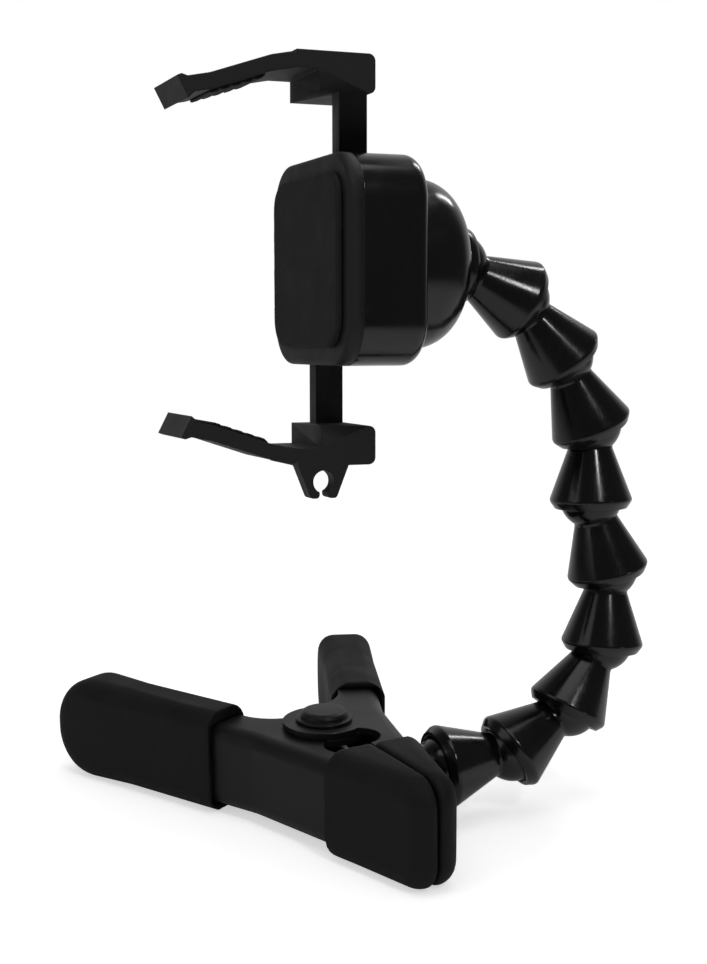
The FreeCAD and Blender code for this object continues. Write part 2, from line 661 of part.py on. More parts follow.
def jaw_block():
    """Root block, leaning arm and hooked lip of the upper jaw."""
    low = BLOCK_TOP - BLOCK_HEIGHT
    foot = JAW_FRONT - LIP_FOOT
    dip = JAW_FRONT - LIP_WIDTH
    crest = JAW_FRONT - 0.4 * LIP_WIDTH
    root = BLOCK_FRONT + BLOCK_NOTCH
    profile = [
        (BLOCK_BACK, low),
        (SEAT_CLEAR, low),
        (SEAT_CLEAR, jaw_inner_z(BLOCK_FRONT)),
        (-BLOCK_FRONT, jaw_inner_z(BLOCK_FRONT)),
        (-JAW_BEND_BACK, jaw_inner_z(JAW_BEND_BACK)),
        (-JAW_BEND_FRONT, jaw_inner_z(JAW_BEND_FRONT)),
        (-foot, jaw_inner_z(foot)),
        (-(JAW_FRONT - LIP_SLANT), jaw_inner_z(foot) - LIP_DROP),
        (-JAW_FRONT, jaw_outer_z(JAW_FRONT) + 0.7 * LIP_BUMP),
        (-crest, jaw_outer_z(crest) + LIP_BUMP),
        (-dip, jaw_outer_z(dip)),
        (-JAW_BEND_FRONT, jaw_outer_z(JAW_BEND_FRONT)),
        (-JAW_BEND_BACK, jaw_outer_z(JAW_BEND_BACK)),
        (-root, jaw_outer_z(root)),
        (-root + 0.3 * BLOCK_NOTCH, jaw_outer_z(root) - BLOCK_NOTCH),
        (-BLOCK_FRONT, jaw_outer_z(root) - BLOCK_NOTCH),
        (-BLOCK_FRONT, BLOCK_TOP),
        (BLOCK_BACK, BLOCK_TOP),
    ]
    face = face_of([(-JAW_WIDTH / 2.0, y, z) for y, z in profile])
    jaw = face.extrude(V(JAW_WIDTH, 0, 0))
    bends = edges_where(
        jaw,
        lambda e, m: abs(m.x) < 1e-6
        and (abs(m.y + JAW_BEND_BACK) < 1e-6 or abs(m.y + JAW_BEND_FRONT) < 1e-6),
    )
    jaw = jaw.makeFillet(JAW_BEND_R, bends)
    soft = edges_where(
        jaw,
        lambda e, m: abs(m.y - BLOCK_BACK) < 1e-6 and abs(m.x) < 1e-6,
    )
    return jaw.makeFillet(BLOCK_EDGE, soft)


def jaw_pad_strip():
    """Ribbed rubber strip on the straight middle of the jaw arm's inner face."""
    start = JAW_BEND_BACK + JAW_PAD_END
    length = (JAW_BEND_FRONT - JAW_BEND_BACK - 2.0 * JAW_PAD_END) / COS_SLOPE
    step = length / JAW_PAD_RIBS
    outline = [(0.0, 0.0)]
    for n in range(JAW_PAD_RIBS):
        outline.append((n * step, -JAW_PAD + RIB_DEPTH))
        outline.append((n * step + 0.25 * step, -JAW_PAD))
        outline.append((n * step + 0.75 * step, -JAW_PAD))
    outline.append((length, -JAW_PAD + RIB_DEPTH))
    outline.append((length, 0.0))
    spots = []
    for along, off in outline:
        y = -start - along * COS_SLOPE + off * SIN_SLOPE
        z = jaw_inner_z(start) - along * SIN_SLOPE + off * COS_SLOPE
        spots.append((-JAW_PAD_WIDTH / 2.0, y, z))
    return face_of(spots).extrude(V(JAW_PAD_WIDTH, 0, 0))


CLIP_MIDDLE = CLIP_WIDTH / 2.0 - BLOCK_FRONT


def cord_clip():
    """Small open hook under the lower block, hole along x."""
    root = -BLOCK_TOP
    middle = CLIP_MIDDLE
    face = face_of([
        (0, middle - CLIP_WIDTH / 2.0, root),
        (0, middle + CLIP_WIDTH / 2.0, root),
        (0, middle + CLIP_FOOT / 2.0, root - CLIP_HEIGHT),
        (0, middle - CLIP_FOOT / 2.0, root - CLIP_HEIGHT),
    ])
    plate = face.extrude(V(CLIP_THICK, 0, 0))
    plate.translate(V(JAW_WIDTH / 2.0 - CLIP_THICK, 0, 0))
    hole_z = root - CLIP_HOLE_DROP
    x = JAW_WIDTH / 2.0 - 2.0 * CLIP_THICK
    hole = Part.makeCylinder(CLIP_HOLE_R, 3.0 * CLIP_THICK, V(x, middle, hole_z), V(1, 0, 0))
    gap = Part.makeBox(
        3.0 * CLIP_THICK, CLIP_GAP, CLIP_HEIGHT, V(x, middle - CLIP_GAP / 2.0, hole_z - CLIP_HEIGHT)
    )
    clip = plate.cut(hole).cut(gap)
    ends = edges_where(
        clip,
        lambda e, m: abs(m.z - root + CLIP_HEIGHT) < 1e-6 and abs(e.tangentAt(e.FirstParameter).x) > 0.99,
    )
    return clip.makeFillet(CLIP_EDGE, ends)


def turned_over(shape):
    """Half turn about the hub axis, for the lower jaw."""
    copy = shape.copy()
    copy.rotate(V(0, 0, 0), V(0, 1, 0), 180)
    return copy


# Directions of the chain: from each ball towards its cup, measured from straight down.
STUD_X = PAD_BACK_X - STUD_GAP - STUD_FLANGE_R * COS_JAW - STUD_FLANGE_H * SIN_JAW
foot = (STUD_X, wall_y(STUD_X))
ball_x = foot[0] + STUD_REACH * SIN_JAW
ball_y = foot[1] + STUD_REACH * COS_JAW
turn = math.radians(CLAMP_TURN)
STUD_BALL = V(
    ball_x * math.cos(turn) - ball_y * math.sin(turn),
    ball_x * math.sin(turn) + ball_y * math.cos(turn),
    REAR_Z + CHANNEL / 2.0,
)


def link_direction(angle):
    """Unit step in the upright bending plane."""
    a = math.radians(angle)
    return V(0, math.sin(a), -math.cos(a))


balls = [STUD_BALL]
for angle in reversed(LINK_ANGLES):
    balls.append(balls[-1] - link_direction(angle) * PITCH)
balls.reverse()
HUB_BALL = balls[0]
LEANING = FreeCAD.Placement(V(0, 0, 0), FreeCAD.Rotation(V(0, 1, 0), -LEAN), STUD_BALL)
TURNING = FreeCAD.Placement(V(0, 0, 0), FreeCAD.Rotation(V(0, 0, 1), CLAMP_TURN))


def on_clamp(shape):
    """Clamp directions to the part's frame."""
    shape.Placement = TURNING.multiply(shape.Placement)
    return shape


def on_wall(shape):
    """Place a piece with its foot on the rear wall, axis outwards."""
    outward = FreeCAD.Rotation(V(0, 0, 1), V(SIN_JAW, COS_JAW, 0))
    spot = FreeCAD.Placement(V(foot[0], foot[1], REAR_Z + CHANNEL / 2.0), outward)
    shape.Placement = spot.multiply(shape.Placement)
    return on_clamp(shape)


def on_arm(shape, ball, angle):
    """Place a link with its ball on the chain."""
    spot = FreeCAD.Placement(ball, FreeCAD.Rotation(V(1, 0, 0), 180.0 + angle))
    shape.Placement = LEANING.multiply(spot).multiply(shape.Placement)
    return shape


CRADLE = LEANING.multiply(
    FreeCAD.Placement(HUB_BALL, FreeCAD.Rotation(V(1, 0, 0), -TILT))
).multiply(FreeCAD.Placement(V(0, -SEAT_DEPTH, 0), FreeCAD.Rotation()))


def on_cradle(shape):
    """Cradle directions to the part's frame."""
    shape.Placement = CRADLE.multiply(shape.Placement)
    return shape


def build():
    """All pieces by name, pivot axis at the origin."""
    nodes = {}
    wall_hole = Part.makeCylinder(STUD_SCREW_R, 3.0 * SHEET, V(0, 0, -2.0 * SHEET))
    rear = on_clamp(clamp_half(REAR_Z))
    nodes["clamp_rear_arm"] = rear.cut(on_wall(wall_hole))
    nodes["clamp_front_arm"] = on_clamp(mirrored(clamp_half(FRONT_Z)))
    nodes["rear_handle_grip"] = on_clamp(handle_grip(REAR_Z))
    nodes["front_handle_grip"] = on_clamp(mirrored(handle_grip(FRONT_Z)))
    nodes["rear_jaw_pad"] = on_clamp(jaw_pad(REAR_Z))
    nodes["front_jaw_pad"] = on_clamp(mirrored(jaw_pad(FRONT_Z)))
    nodes["pivot_rivet"] = on_clamp(pivot_rivet())
    nodes["torsion_spring"] = on_clamp(torsion_spring())
    nodes["ball_stud"] = on_wall(ball_stud())
    nodes["stud_screw"] = on_wall(stud_screw())
    for n, angle in enumerate(LINK_ANGLES):
        nodes["arm_link_%d" % (n + 1)] = on_arm(arm_link(), balls[n], angle)
    socket = hub_socket()
    nodes["hub_socket"] = on_cradle(turned_to_back(socket, SEAT_DEPTH))
    nodes["cradle_rear_shell"] = on_cradle(rear_shell())
    nodes["cradle_front_cover"] = on_cradle(front_cover())
    nodes["cradle_back_pad"] = on_cradle(back_pad())
    nodes["jaw_pinion"] = on_cradle(jaw_pinion())
    rack = rack_tongue()
    upper = jaw_block().fuse(rack).removeSplitter()
    lower = turned_over(rack).fuse(mirror_down(jaw_block())).fuse(cord_clip()).removeSplitter()
    nodes["upper_jaw"] = on_cradle(upper)
    nodes["lower_jaw"] = on_cradle(lower)
    nodes["upper_jaw_pad"] = on_cradle(jaw_pad_strip())
    nodes["lower_jaw_pad"] = on_cradle(mirror_down(jaw_pad_strip()))
    return nodes


def mirror_down(shape):
    """The same shape below the cradle's middle."""
    return shape.mirror(V(0, 0, 0), V(0, 0, 1))


nodes = build()
box = FreeCAD.BoundBox()
for shape in nodes.values():
    box.add(shape.optimalBoundingBox(False, False))
SHIFT = V(-box.Center.x, -box.Center.y, -box.ZMin)
os.makedirs("parts", exist_ok=True)
for name, shape in nodes.items():
    shape.translate(SHIFT)
    shape.exportStep(os.path.join("parts", name + ".step"))
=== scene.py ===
"""Dresses a spring-clamp holder with a ball-jointed arm and a two-jaw cradle, in a pale studio."""

import json
import math

import bmesh
import bpy
from mathutils import Matrix, Vector, noise

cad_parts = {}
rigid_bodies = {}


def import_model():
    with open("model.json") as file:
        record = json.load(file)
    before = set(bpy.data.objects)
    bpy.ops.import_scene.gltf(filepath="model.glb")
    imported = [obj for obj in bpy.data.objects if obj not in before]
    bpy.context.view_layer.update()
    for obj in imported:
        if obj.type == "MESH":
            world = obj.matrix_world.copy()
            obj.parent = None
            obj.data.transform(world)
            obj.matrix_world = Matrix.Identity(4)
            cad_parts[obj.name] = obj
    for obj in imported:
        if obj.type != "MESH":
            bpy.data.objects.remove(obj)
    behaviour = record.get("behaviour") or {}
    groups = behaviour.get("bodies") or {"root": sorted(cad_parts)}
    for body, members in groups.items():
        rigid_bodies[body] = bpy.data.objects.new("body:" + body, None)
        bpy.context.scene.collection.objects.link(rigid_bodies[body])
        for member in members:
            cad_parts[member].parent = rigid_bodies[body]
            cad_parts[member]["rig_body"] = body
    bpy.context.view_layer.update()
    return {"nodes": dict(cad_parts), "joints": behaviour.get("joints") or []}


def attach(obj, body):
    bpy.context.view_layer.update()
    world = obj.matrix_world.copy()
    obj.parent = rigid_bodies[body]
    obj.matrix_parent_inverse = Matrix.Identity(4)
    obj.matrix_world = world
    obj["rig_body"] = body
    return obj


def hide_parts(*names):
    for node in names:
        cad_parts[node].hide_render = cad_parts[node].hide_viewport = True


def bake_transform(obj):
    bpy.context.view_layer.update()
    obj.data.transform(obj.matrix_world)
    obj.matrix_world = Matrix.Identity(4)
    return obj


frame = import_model()
JOINTS = {joint["name"]: joint for joint in frame["joints"]}

bl_info = {
    "name": "Clamp holder finishes",
    "version": (1, 0, 0),
    "blender": (4, 5, 0),
    "location": "View3D > Sidebar > Clamp holder",
    "description": "Skins, finishes and studio for a spring-clamp holder",
    "category": "Object",
}

MM = 0.001
LINKS = 9
MATHS = "ShaderNodeMath"
MIX = "ShaderNodeMix"
NOISE = "ShaderNodeTexNoise"
RANGE = "ShaderNodeMapRange"

# Mould seam round each link's cup, from the ball's centre, and half its width.
SEAM_AT, SEAM_HALF = 14.05 * MM, 0.09 * MM
# Dents in soft pieces: broad and small ones' widths in mm, and how far a taut place keeps them off.
DENT_BROAD, DENT_SMALL = 17.0, 5.0
TAUT_REACH, TAUT_FADE = 10.0 * MM, 6.0 * MM

# Studio floor: half its side, its gap under the part, where it fades out, and its lift to white.
FLOOR_REACH, FLOOR_GAP, FLOOR_LIFT = 0.6, 0.05 * MM, 0.56
FLOOR_FADE = (0.16, 0.42)
# Room: light on matt surfaces, and what glossy ones mirror behind the part and behind the camera.
ROOM_LIGHT, ROOM_BEHIND, ROOM_FRONT = 0.28, 0.62, 0.09

# Camera that shows the part as in the photograph, in metres and degrees.
CAMERA_PLACE = (0.26787, -0.10733, 0.11728)
CAMERA_HEADING = 68.43   # left of straight along +Y
CAMERA_DROP = 11.09      # looking down
CAMERA_ROLL = -0.32
CAMERA_LENS = 59.56


def linear(code):
    """Linear colour of an sRGB hex value."""
    channels = [int(code[k:k + 2], 16) / 255.0 for k in (1, 3, 5)]
    low = [c / 12.92 if c <= 0.04045 else ((c + 0.055) / 1.055) ** 2.4 for c in channels]
    return (*low, 1.0)


def per_mm(size):
    """Scale of a pattern on Object coordinates whose features are that many millimetres wide."""
    return 1000.0 / size


def feed(tree, node, inputs):
    """Set a node's inputs, or link them from sockets or from other nodes' first outputs."""
    for key, value in inputs.items():
        if isinstance(value, bpy.types.Node):
            value = next(socket for socket in value.outputs if socket.enabled)
        if isinstance(value, bpy.types.NodeSocket):
            tree.links.new(value, node.inputs[key])
        else:
            node.inputs[key].default_value = value


def add_node(tree, kind, inputs=None, **settings):
    """Add a node with its settings and inputs."""
    made = tree.nodes.new(kind)
    for key, value in settings.items():
        setattr(made, key, value)
    feed(tree, made, inputs or {})
    return made


class ClampHolderSizes(bpy.types.PropertyGroup):
    """Sizes of the pieces that are made here."""

    ball_radius: bpy.props.FloatProperty(
        name="Ball radius", description="Ball of each arm link", default=5.8 * MM, unit="LENGTH")
    socket_play: bpy.props.FloatProperty(
        name="Socket play", description="Running fit of the balls", default=0.06 * MM, unit="LENGTH")
    bore_radius: bpy.props.FloatProperty(
        name="Bore radius", description="Hole along the arm", default=2.9 * MM, unit="LENGTH")
    neck_radius: bpy.props.FloatProperty(
        name="Neck radius", description="Neck under each ball", default=4.1 * MM, unit="LENGTH")
    neck_length: bpy.props.FloatProperty(
        name="Neck length", description="Ball centre to the cone's foot",
        default=4.6 * MM, unit="LENGTH")
    rim_radius: bpy.props.FloatProperty(
        name="Rim radius", description="Widest part of the cup", default=7.7 * MM, unit="LENGTH")
    rim_end_radius: bpy.props.FloatProperty(
        name="Rim end radius", description="Drawn-in end of the cup", default=6.7 * MM, unit="LENGTH")
    rim_taper: bpy.props.FloatProperty(
        name="Rim taper", description="Length of the drawn-in end", default=1.5 * MM, unit="LENGTH")
    rim_round: bpy.props.FloatProperty(
        name="Rim round", description="Radius of the rim's edge", default=1.0 * MM, unit="LENGTH")
    lip: bpy.props.FloatProperty(
        name="Lip", description="Socket past the ball's centre", default=1.3 * MM, unit="LENGTH")
    mouth: bpy.props.FloatProperty(
        name="Mouth", description="Flared mouth past the lip", default=0.6 * MM, unit="LENGTH")
    mouth_radius: bpy.props.FloatProperty(
        name="Mouth radius", description="Wide end of the mouth", default=6.1 * MM, unit="LENGTH")
    turn_steps: bpy.props.IntProperty(
        name="Turn steps", description="Facets round each link", default=72, min=12)
    vinyl_voxel: bpy.props.FloatProperty(
        name="Vinyl voxel", description="Grain of the soft sleeves' mesh",
        default=0.42 * MM, unit="LENGTH")
    vinyl_dent: bpy.props.FloatProperty(
        name="Vinyl dent", description="Deepest dent in a handle grip", default=0.5 * MM, unit="LENGTH")
    grip_end_radius: bpy.props.FloatProperty(
        name="Grip end radius", description="Rounded free end of a grip",
        default=9.3 * MM, unit="LENGTH")
    grip_soft_radius: bpy.props.FloatProperty(
        name="Grip edge radius", description="Edges along a grip", default=4.7 * MM, unit="LENGTH")
    grip_tip_radius: bpy.props.FloatProperty(
        name="Grip tip radius", description="Edges over the steel's end",
        default=3.0 * MM, unit="LENGTH")
    grip_cap: bpy.props.FloatProperty(
        name="Grip cap", description="Vinyl past the steel's end", default=4.5 * MM, unit="LENGTH")
    coil_radius: bpy.props.FloatProperty(
        name="Coil radius", description="Outside of the spring's coil",
        default=5.30 * MM, unit="LENGTH")
    seat_voxel: bpy.props.FloatProperty(
        name="Seat voxel", description="Grain of the rubber seat's mesh",
        default=0.28 * MM, unit="LENGTH")
    rib_voxel: bpy.props.FloatProperty(
        name="Rib voxel", description="Grain of the ribbed pads' mesh",
        default=0.13 * MM, unit="LENGTH")
    rubber_dent: bpy.props.FloatProperty(
        name="Rubber dent", description="Deepest dent in the rubber", default=0.12 * MM, unit="LENGTH")
    screw_radius: bpy.props.FloatProperty(
        name="Screw radius", description="Head of the housing screws", default=1.8 * MM, unit="LENGTH")
    screw_height: bpy.props.FloatProperty(
        name="Screw height", description="Head above the housing", default=0.9 * MM, unit="LENGTH")
    screw_span_x: bpy.props.FloatProperty(
        name="Screw span across", description="Between housing screws",
        default=26.8 * MM, unit="LENGTH")
    screw_span_z: bpy.props.FloatProperty(
        name="Screw span up", description="Between housing screws", default=23.6 * MM, unit="LENGTH")
    screw_depth: bpy.props.FloatProperty(
        name="Screw plane", description="Back face before the hub's ball",
        default=12.9 * MM, unit="LENGTH")


class ClampHolderColours(bpy.types.PropertyGroup):
    """Colours of the finishes."""

    enamel: bpy.props.FloatVectorProperty(
        name="Enamel", description="Stoved enamel on the steel", subtype="COLOR", size=4,
        min=0.0, max=1.0, default=linear("#0f0f10"))
    vinyl: bpy.props.FloatVectorProperty(
        name="Vinyl", description="Dipped grips and jaw pads", subtype="COLOR", size=4,
        min=0.0, max=1.0, default=linear("#111112"))
    acetal: bpy.props.FloatVectorProperty(
        name="Acetal", description="Glossy links, hub and stud", subtype="COLOR", size=4,
        min=0.0, max=1.0, default=linear("#070708"))
    shell: bpy.props.FloatVectorProperty(
        name="Housing", description="Polished ABS of the domed housing", subtype="COLOR", size=4,
        min=0.0, max=1.0, default=linear("#08080a"))
    jaw: bpy.props.FloatVectorProperty(
        name="Jaws", description="Spark-textured ABS", subtype="COLOR", size=4,
        min=0.0, max=1.0, default=linear("#0e0f0f"))
    rubber: bpy.props.FloatVectorProperty(
        name="Rubber", description="Seat and jaw pads", subtype="COLOR", size=4,
        min=0.0, max=1.0, default=linear("#141415"))
    wire: bpy.props.FloatVectorProperty(
        name="Spring wire", description="Oiled spring steel", subtype="COLOR", size=4,
        min=0.0, max=1.0, default=linear("#7d7c79"))
    pinion: bpy.props.FloatVectorProperty(
        name="Pinion", description="Natural acetal", subtype="COLOR", size=4,
        min=0.0, max=1.0, default=linear("#e9e6dc"))
    floor: bpy.props.FloatVectorProperty(
        name="Floor", description="Pale studio floor", subtype="COLOR", size=4,
        min=0.0, max=1.0, default=linear("#f4f4f3"))


def fresh_material(name):
    """Empty node material: its tree, its shader and its Object coordinates."""
    material = bpy.data.materials.new(name)
    material.use_nodes = True
    tree = material.node_tree
    tree.nodes.clear()
    shader = add_node(tree, "ShaderNodeBsdfPrincipled")
    add_node(tree, "ShaderNodeOutputMaterial", {"Surface": shader})
    place = add_node(tree, "ShaderNodeTexCoord").outputs["Object"]
    return material, tree, shader, place


def enamelled_steel(colours):
    """Stoved black enamel on pressed steel."""
    # Sprayed enamel dries to a faint orange peel with a soft sheen, and rubs through on edges.
    material, tree, shader, place = fresh_material("enamelled_steel")
    peel = add_node(tree, NOISE, {"Vector": place, "Scale": per_mm(0.9), "Detail": 2.0})
    rounded = add_node(tree, "ShaderNodeBevel", {"Radius": 0.25 * MM}, samples=6)
    bump = add_node(tree, "ShaderNodeBump", {
        "Strength": 0.12, "Distance": 0.05 * MM,
        "Height": peel, "Normal": rounded})
    flat = add_node(tree, "ShaderNodeNewGeometry")
    turned = add_node(tree, "ShaderNodeVectorMath", {
        0: rounded, 1: flat.outputs["True Normal"]}, operation="DOT_PRODUCT")
    rub = add_node(tree, NOISE, {"Vector": place, "Scale": per_mm(2.2), "Detail": 5.0})
    edge = add_node(tree, RANGE, {
        "Value": turned, "From Min": 0.97, "From Max": 0.80, "To Min": 0.0, "To Max": 1.0})
    patchy = add_node(tree, RANGE, {
        "Value": rub, "From Min": 0.56, "From Max": 0.70})
    worn = add_node(tree, MATHS, {
        0: edge, 1: patchy}, operation="MULTIPLY", use_clamp=True)
    haze = add_node(tree, NOISE, {"Vector": place, "Scale": per_mm(11.0), "Detail": 3.0})
    tone = add_node(tree, MIX, {
        "Factor": haze, "A": colours.enamel, "B": linear("#151516")}, data_type="RGBA")
    paint = add_node(tree, MIX, {
        "Factor": worn, "A": tone, "B": linear("#5c5a57")}, data_type="RGBA")
    rough = add_node(tree, RANGE, {
        "Value": haze, "From Min": 0.25, "From Max": 0.75, "To Min": 0.40, "To Max": 0.50})
    feed(tree, shader, {
        "Base Color": paint, "Metallic": worn, "Roughness": rough, "Normal": bump, "IOR": 1.5,
        "Specular IOR Level": 0.26})
    return material


def dipped_vinyl(colours):
    """Soft PVC sleeve, dipped and stripped off its former."""
    # Dipped PVC is matt with a fine skin, greyer where hands have polished or dusted it.
    material, tree, shader, place = fresh_material("dipped_vinyl")
    # The real skin is about 0.15 mm; it is drawn at 0.45 mm so that it shows.
    skin = add_node(tree, NOISE, {"Vector": place, "Scale": per_mm(0.45), "Detail": 3.0})
    pores = add_node(tree, "ShaderNodeTexVoronoi", {"Vector": place, "Scale": per_mm(1.1)})
    both = add_node(tree, MATHS, {
        0: skin, 1: pores}, operation="ADD")
    bump = add_node(tree, "ShaderNodeBump", {
        "Strength": 0.4, "Distance": 0.07 * MM, "Height": both})
    dust = add_node(tree, NOISE, {
        "Vector": place, "Scale": per_mm(9.0), "Detail": 6.0, "Roughness": 0.62})
    cloudy = add_node(tree, RANGE, {
        "Value": dust, "From Min": 0.38, "From Max": 0.72})
    tone = add_node(tree, MIX, {
        "Factor": cloudy, "A": colours.vinyl, "B": linear("#1a1a1b")}, data_type="RGBA")
    rough = add_node(tree, RANGE, {
        "Value": dust, "From Min": 0.3, "From Max": 0.7, "To Min": 0.58, "To Max": 0.74})
    feed(tree, shader, {
        "Base Color": tone, "Roughness": rough, "Normal": bump, "IOR": 1.5,
        "Specular IOR Level": 0.18})
    return material


def moulded_acetal(colours):
    """Glossy black acetal, moulded in polished tools."""
    # Polished moulds leave a hard gloss; shrinkage ripples it, and handling leaves hairlines.
    material, tree, shader, place = fresh_material("moulded_acetal")
    ripple = add_node(tree, NOISE, {"Vector": place, "Scale": per_mm(4.0), "Detail": 1.0})
    along = add_node(tree, "ShaderNodeAttribute", attribute_name="along")
    seam = add_node(tree, MATHS, {
        0: along.outputs["Fac"], 1: SEAM_AT, 2: SEAM_HALF}, operation="COMPARE")
    ripple_bump = add_node(tree, "ShaderNodeBump", {
        "Strength": 0.16, "Distance": 0.12 * MM, "Height": ripple})
    bump = add_node(tree, "ShaderNodeBump", {
        "Strength": 0.4, "Distance": 0.03 * MM,
        "Height": seam, "Normal": ripple_bump})
    stretched = add_node(tree, "ShaderNodeMapping", {"Vector": place, "Scale": (1.0, 1.0, 0.08)})
    hairs = add_node(tree, NOISE, {
        "Vector": stretched, "Scale": per_mm(0.35), "Detail": 2.0})
    touched = add_node(tree, NOISE, {"Vector": place, "Scale": per_mm(7.0), "Detail": 4.0})
    scuff = add_node(tree, MATHS, {
        0: hairs, 1: touched}, operation="MULTIPLY")
    rough = add_node(tree, RANGE, {
        "Value": scuff, "From Min": 0.15, "From Max": 0.42, "To Min": 0.13, "To Max": 0.27})
    tone = add_node(tree, MIX, {
        "Factor": touched, "A": colours.acetal, "B": linear("#0b0c0d")}, data_type="RGBA")
    feed(tree, shader, {"Base Color": tone, "Roughness": rough, "Normal": bump, "IOR": 1.48})
    return material


def polished_abs(colours):
    """Polished black ABS of the domed housing."""
    # A polished ABS shell mirrors the room softly, with slight sink marks and a veil of dust.
    material, tree, shader, place = fresh_material("polished_abs")
    sink = add_node(tree, NOISE, {"Vector": place, "Scale": per_mm(9.0), "Detail": 1.0})
    rounded = add_node(tree, "ShaderNodeBevel", {"Radius": 0.3 * MM}, samples=6)
    bump = add_node(tree, "ShaderNodeBump", {
        "Strength": 0.1, "Distance": 0.25 * MM,
        "Height": sink, "Normal": rounded})
    veil = add_node(tree, NOISE, {
        "Vector": place, "Scale": per_mm(5.0), "Detail": 6.0, "Roughness": 0.65})
    specks = add_node(tree, NOISE, {"Vector": place, "Scale": per_mm(0.5), "Detail": 1.0})
    dusty = add_node(tree, RANGE, {
        "Value": specks, "From Min": 0.70, "From Max": 0.78, "To Max": 0.5})
    tone = add_node(tree, MIX, {
        "Factor": dusty, "A": colours.shell, "B": linear("#2e2e30")}, data_type="RGBA")
    rough = add_node(tree, RANGE, {
        "Value": veil, "From Min": 0.3, "From Max": 0.7, "To Min": 0.14, "To Max": 0.24})
    feed(tree, shader, {"Base Color": tone, "Roughness": rough, "Normal": bump, "IOR": 1.53})
    return material


def spark_textured_abs(colours):
    """Matt black ABS from a spark-eroded tool."""
    # Spark erosion gives a fine even grit that breaks up highlights; rubbed edges turn slightly shiny.
    material, tree, shader, place = fresh_material("spark_textured_abs")
    # The real grit is about 0.1 mm; it is drawn at 0.3 mm so that it shows.
    grit = add_node(tree, NOISE, {"Vector": place, "Scale": per_mm(0.3), "Detail": 2.0})
    rounded = add_node(tree, "ShaderNodeBevel", {"Radius": 0.35 * MM}, samples=6)
    bump = add_node(tree, "ShaderNodeBump", {
        "Strength": 0.3, "Distance": 0.05 * MM,
        "Height": grit, "Normal": rounded})
    rub = add_node(tree, NOISE, {"Vector": place, "Scale": per_mm(4.5), "Detail": 4.0})
    tone = add_node(tree, MIX, {
        "Factor": rub, "A": colours.jaw, "B": linear("#151616")}, data_type="RGBA")
    rough = add_node(tree, RANGE, {
        "Value": rub, "From Min": 0.3, "From Max": 0.7, "To Min": 0.60, "To Max": 0.70})
    feed(tree, shader, {
        "Base Color": tone, "Roughness": rough, "Normal": bump, "IOR": 1.53,
        "Specular IOR Level": 0.4})
    return material


def moulded_rubber(colours):
    """Matt moulded rubber of the seat and the jaw pads."""
    # Rubber shows almost no highlight, a dusty bloom and fine mould grain.
    material, tree, shader, place = fresh_material("moulded_rubber")
    grain = add_node(tree, "ShaderNodeTexVoronoi", {"Vector": place, "Scale": per_mm(0.7)})
    bump = add_node(tree, "ShaderNodeBump", {
        "Strength": 0.3, "Distance": 0.06 * MM, "Height": grain})
    bloom = add_node(tree, NOISE, {
        "Vector": place, "Scale": per_mm(6.0), "Detail": 5.0, "Roughness": 0.6})
    tone = add_node(tree, MIX, {
        "Factor": bloom, "A": colours.rubber, "B": linear("#1d1d1f")}, data_type="RGBA")
    rough = add_node(tree, RANGE, {
        "Value": bloom, "From Min": 0.3, "From Max": 0.7, "To Min": 0.76, "To Max": 0.9})
    feed(tree, shader, {
        "Base Color": tone, "Roughness": rough, "Normal": bump, "IOR": 1.52,
        "Specular IOR Level": 0.3})
    return material


def oiled_spring_wire(colours):
    """Drawn spring wire under a film of oil."""
    # Drawn wire is dull steel with faint draw lines and darker oily patches.
    material, tree, shader, place = fresh_material("oiled_spring_wire")
    lines = add_node(tree, NOISE, {"Vector": place, "Scale": per_mm(0.25), "Detail": 2.0})
    oil = add_node(tree, NOISE, {"Vector": place, "Scale": per_mm(3.0), "Detail": 3.0})
    bump = add_node(tree, "ShaderNodeBump", {
        "Strength": 0.2, "Distance": 0.02 * MM, "Height": lines})
    tone = add_node(tree, MIX, {
        "Factor": oil, "A": linear("#3a3836"), "B": colours.wire}, data_type="RGBA")
    rough = add_node(tree, RANGE, {
        "Value": oil, "From Min": 0.3, "From Max": 0.7, "To Min": 0.28, "To Max": 0.45})
    feed(tree, shader, {"Base Color": tone, "Roughness": rough, "Normal": bump, "Metallic": 1.0})
    return material


def blackened_screw_steel():
    """Black oxide on steel screws."""
    # Black oxide is a thin blue-black film; driver marks show steel through it.
    material, tree, shader, place = fresh_material("blackened_screw_steel")
    film = add_node(tree, NOISE, {"Vector": place, "Scale": per_mm(0.8), "Detail": 4.0})
    tone = add_node(tree, MIX, {
        "Factor": film, "A": linear("#1e1f22"), "B": linear("#4b4c4f")}, data_type="RGBA")
    rough = add_node(tree, RANGE, {
        "Value": film, "From Min": 0.3, "From Max": 0.7, "To Min": 0.3, "To Max": 0.5})
    bump = add_node(tree, "ShaderNodeBump", {
        "Strength": 0.2, "Distance": 0.03 * MM, "Height": film})
    feed(tree, shader, {"Base Color": tone, "Roughness": rough, "Normal": bump, "Metallic": 1.0})
    return material


def natural_acetal(colours):
    """Uncoloured acetal of the pinion."""
    # Natural acetal is a milky white that lets a little light in, with greasy grey at the teeth.
    material, tree, shader, place = fresh_material("natural_acetal")
    grease = add_node(tree, NOISE, {"Vector": place, "Scale": per_mm(1.5), "Detail": 4.0})
    smeared = add_node(tree, RANGE, {
        "Value": grease, "From Min": 0.5, "From Max": 0.75})
    tone = add_node(tree, MIX, {
        "Factor": smeared, "A": colours.pinion, "B": linear("#c4beb0")}, data_type="RGBA")
    feed(tree, shader, {"Base Color": tone, "Roughness": 0.35, "IOR": 1.48})
    return material


FINISHES = {}


def finish_of(name, make, *arguments):
    """The finish of that name, made once."""
    if name not in FINISHES:
        FINISHES[name] = make(*arguments)
    return FINISHES[name]


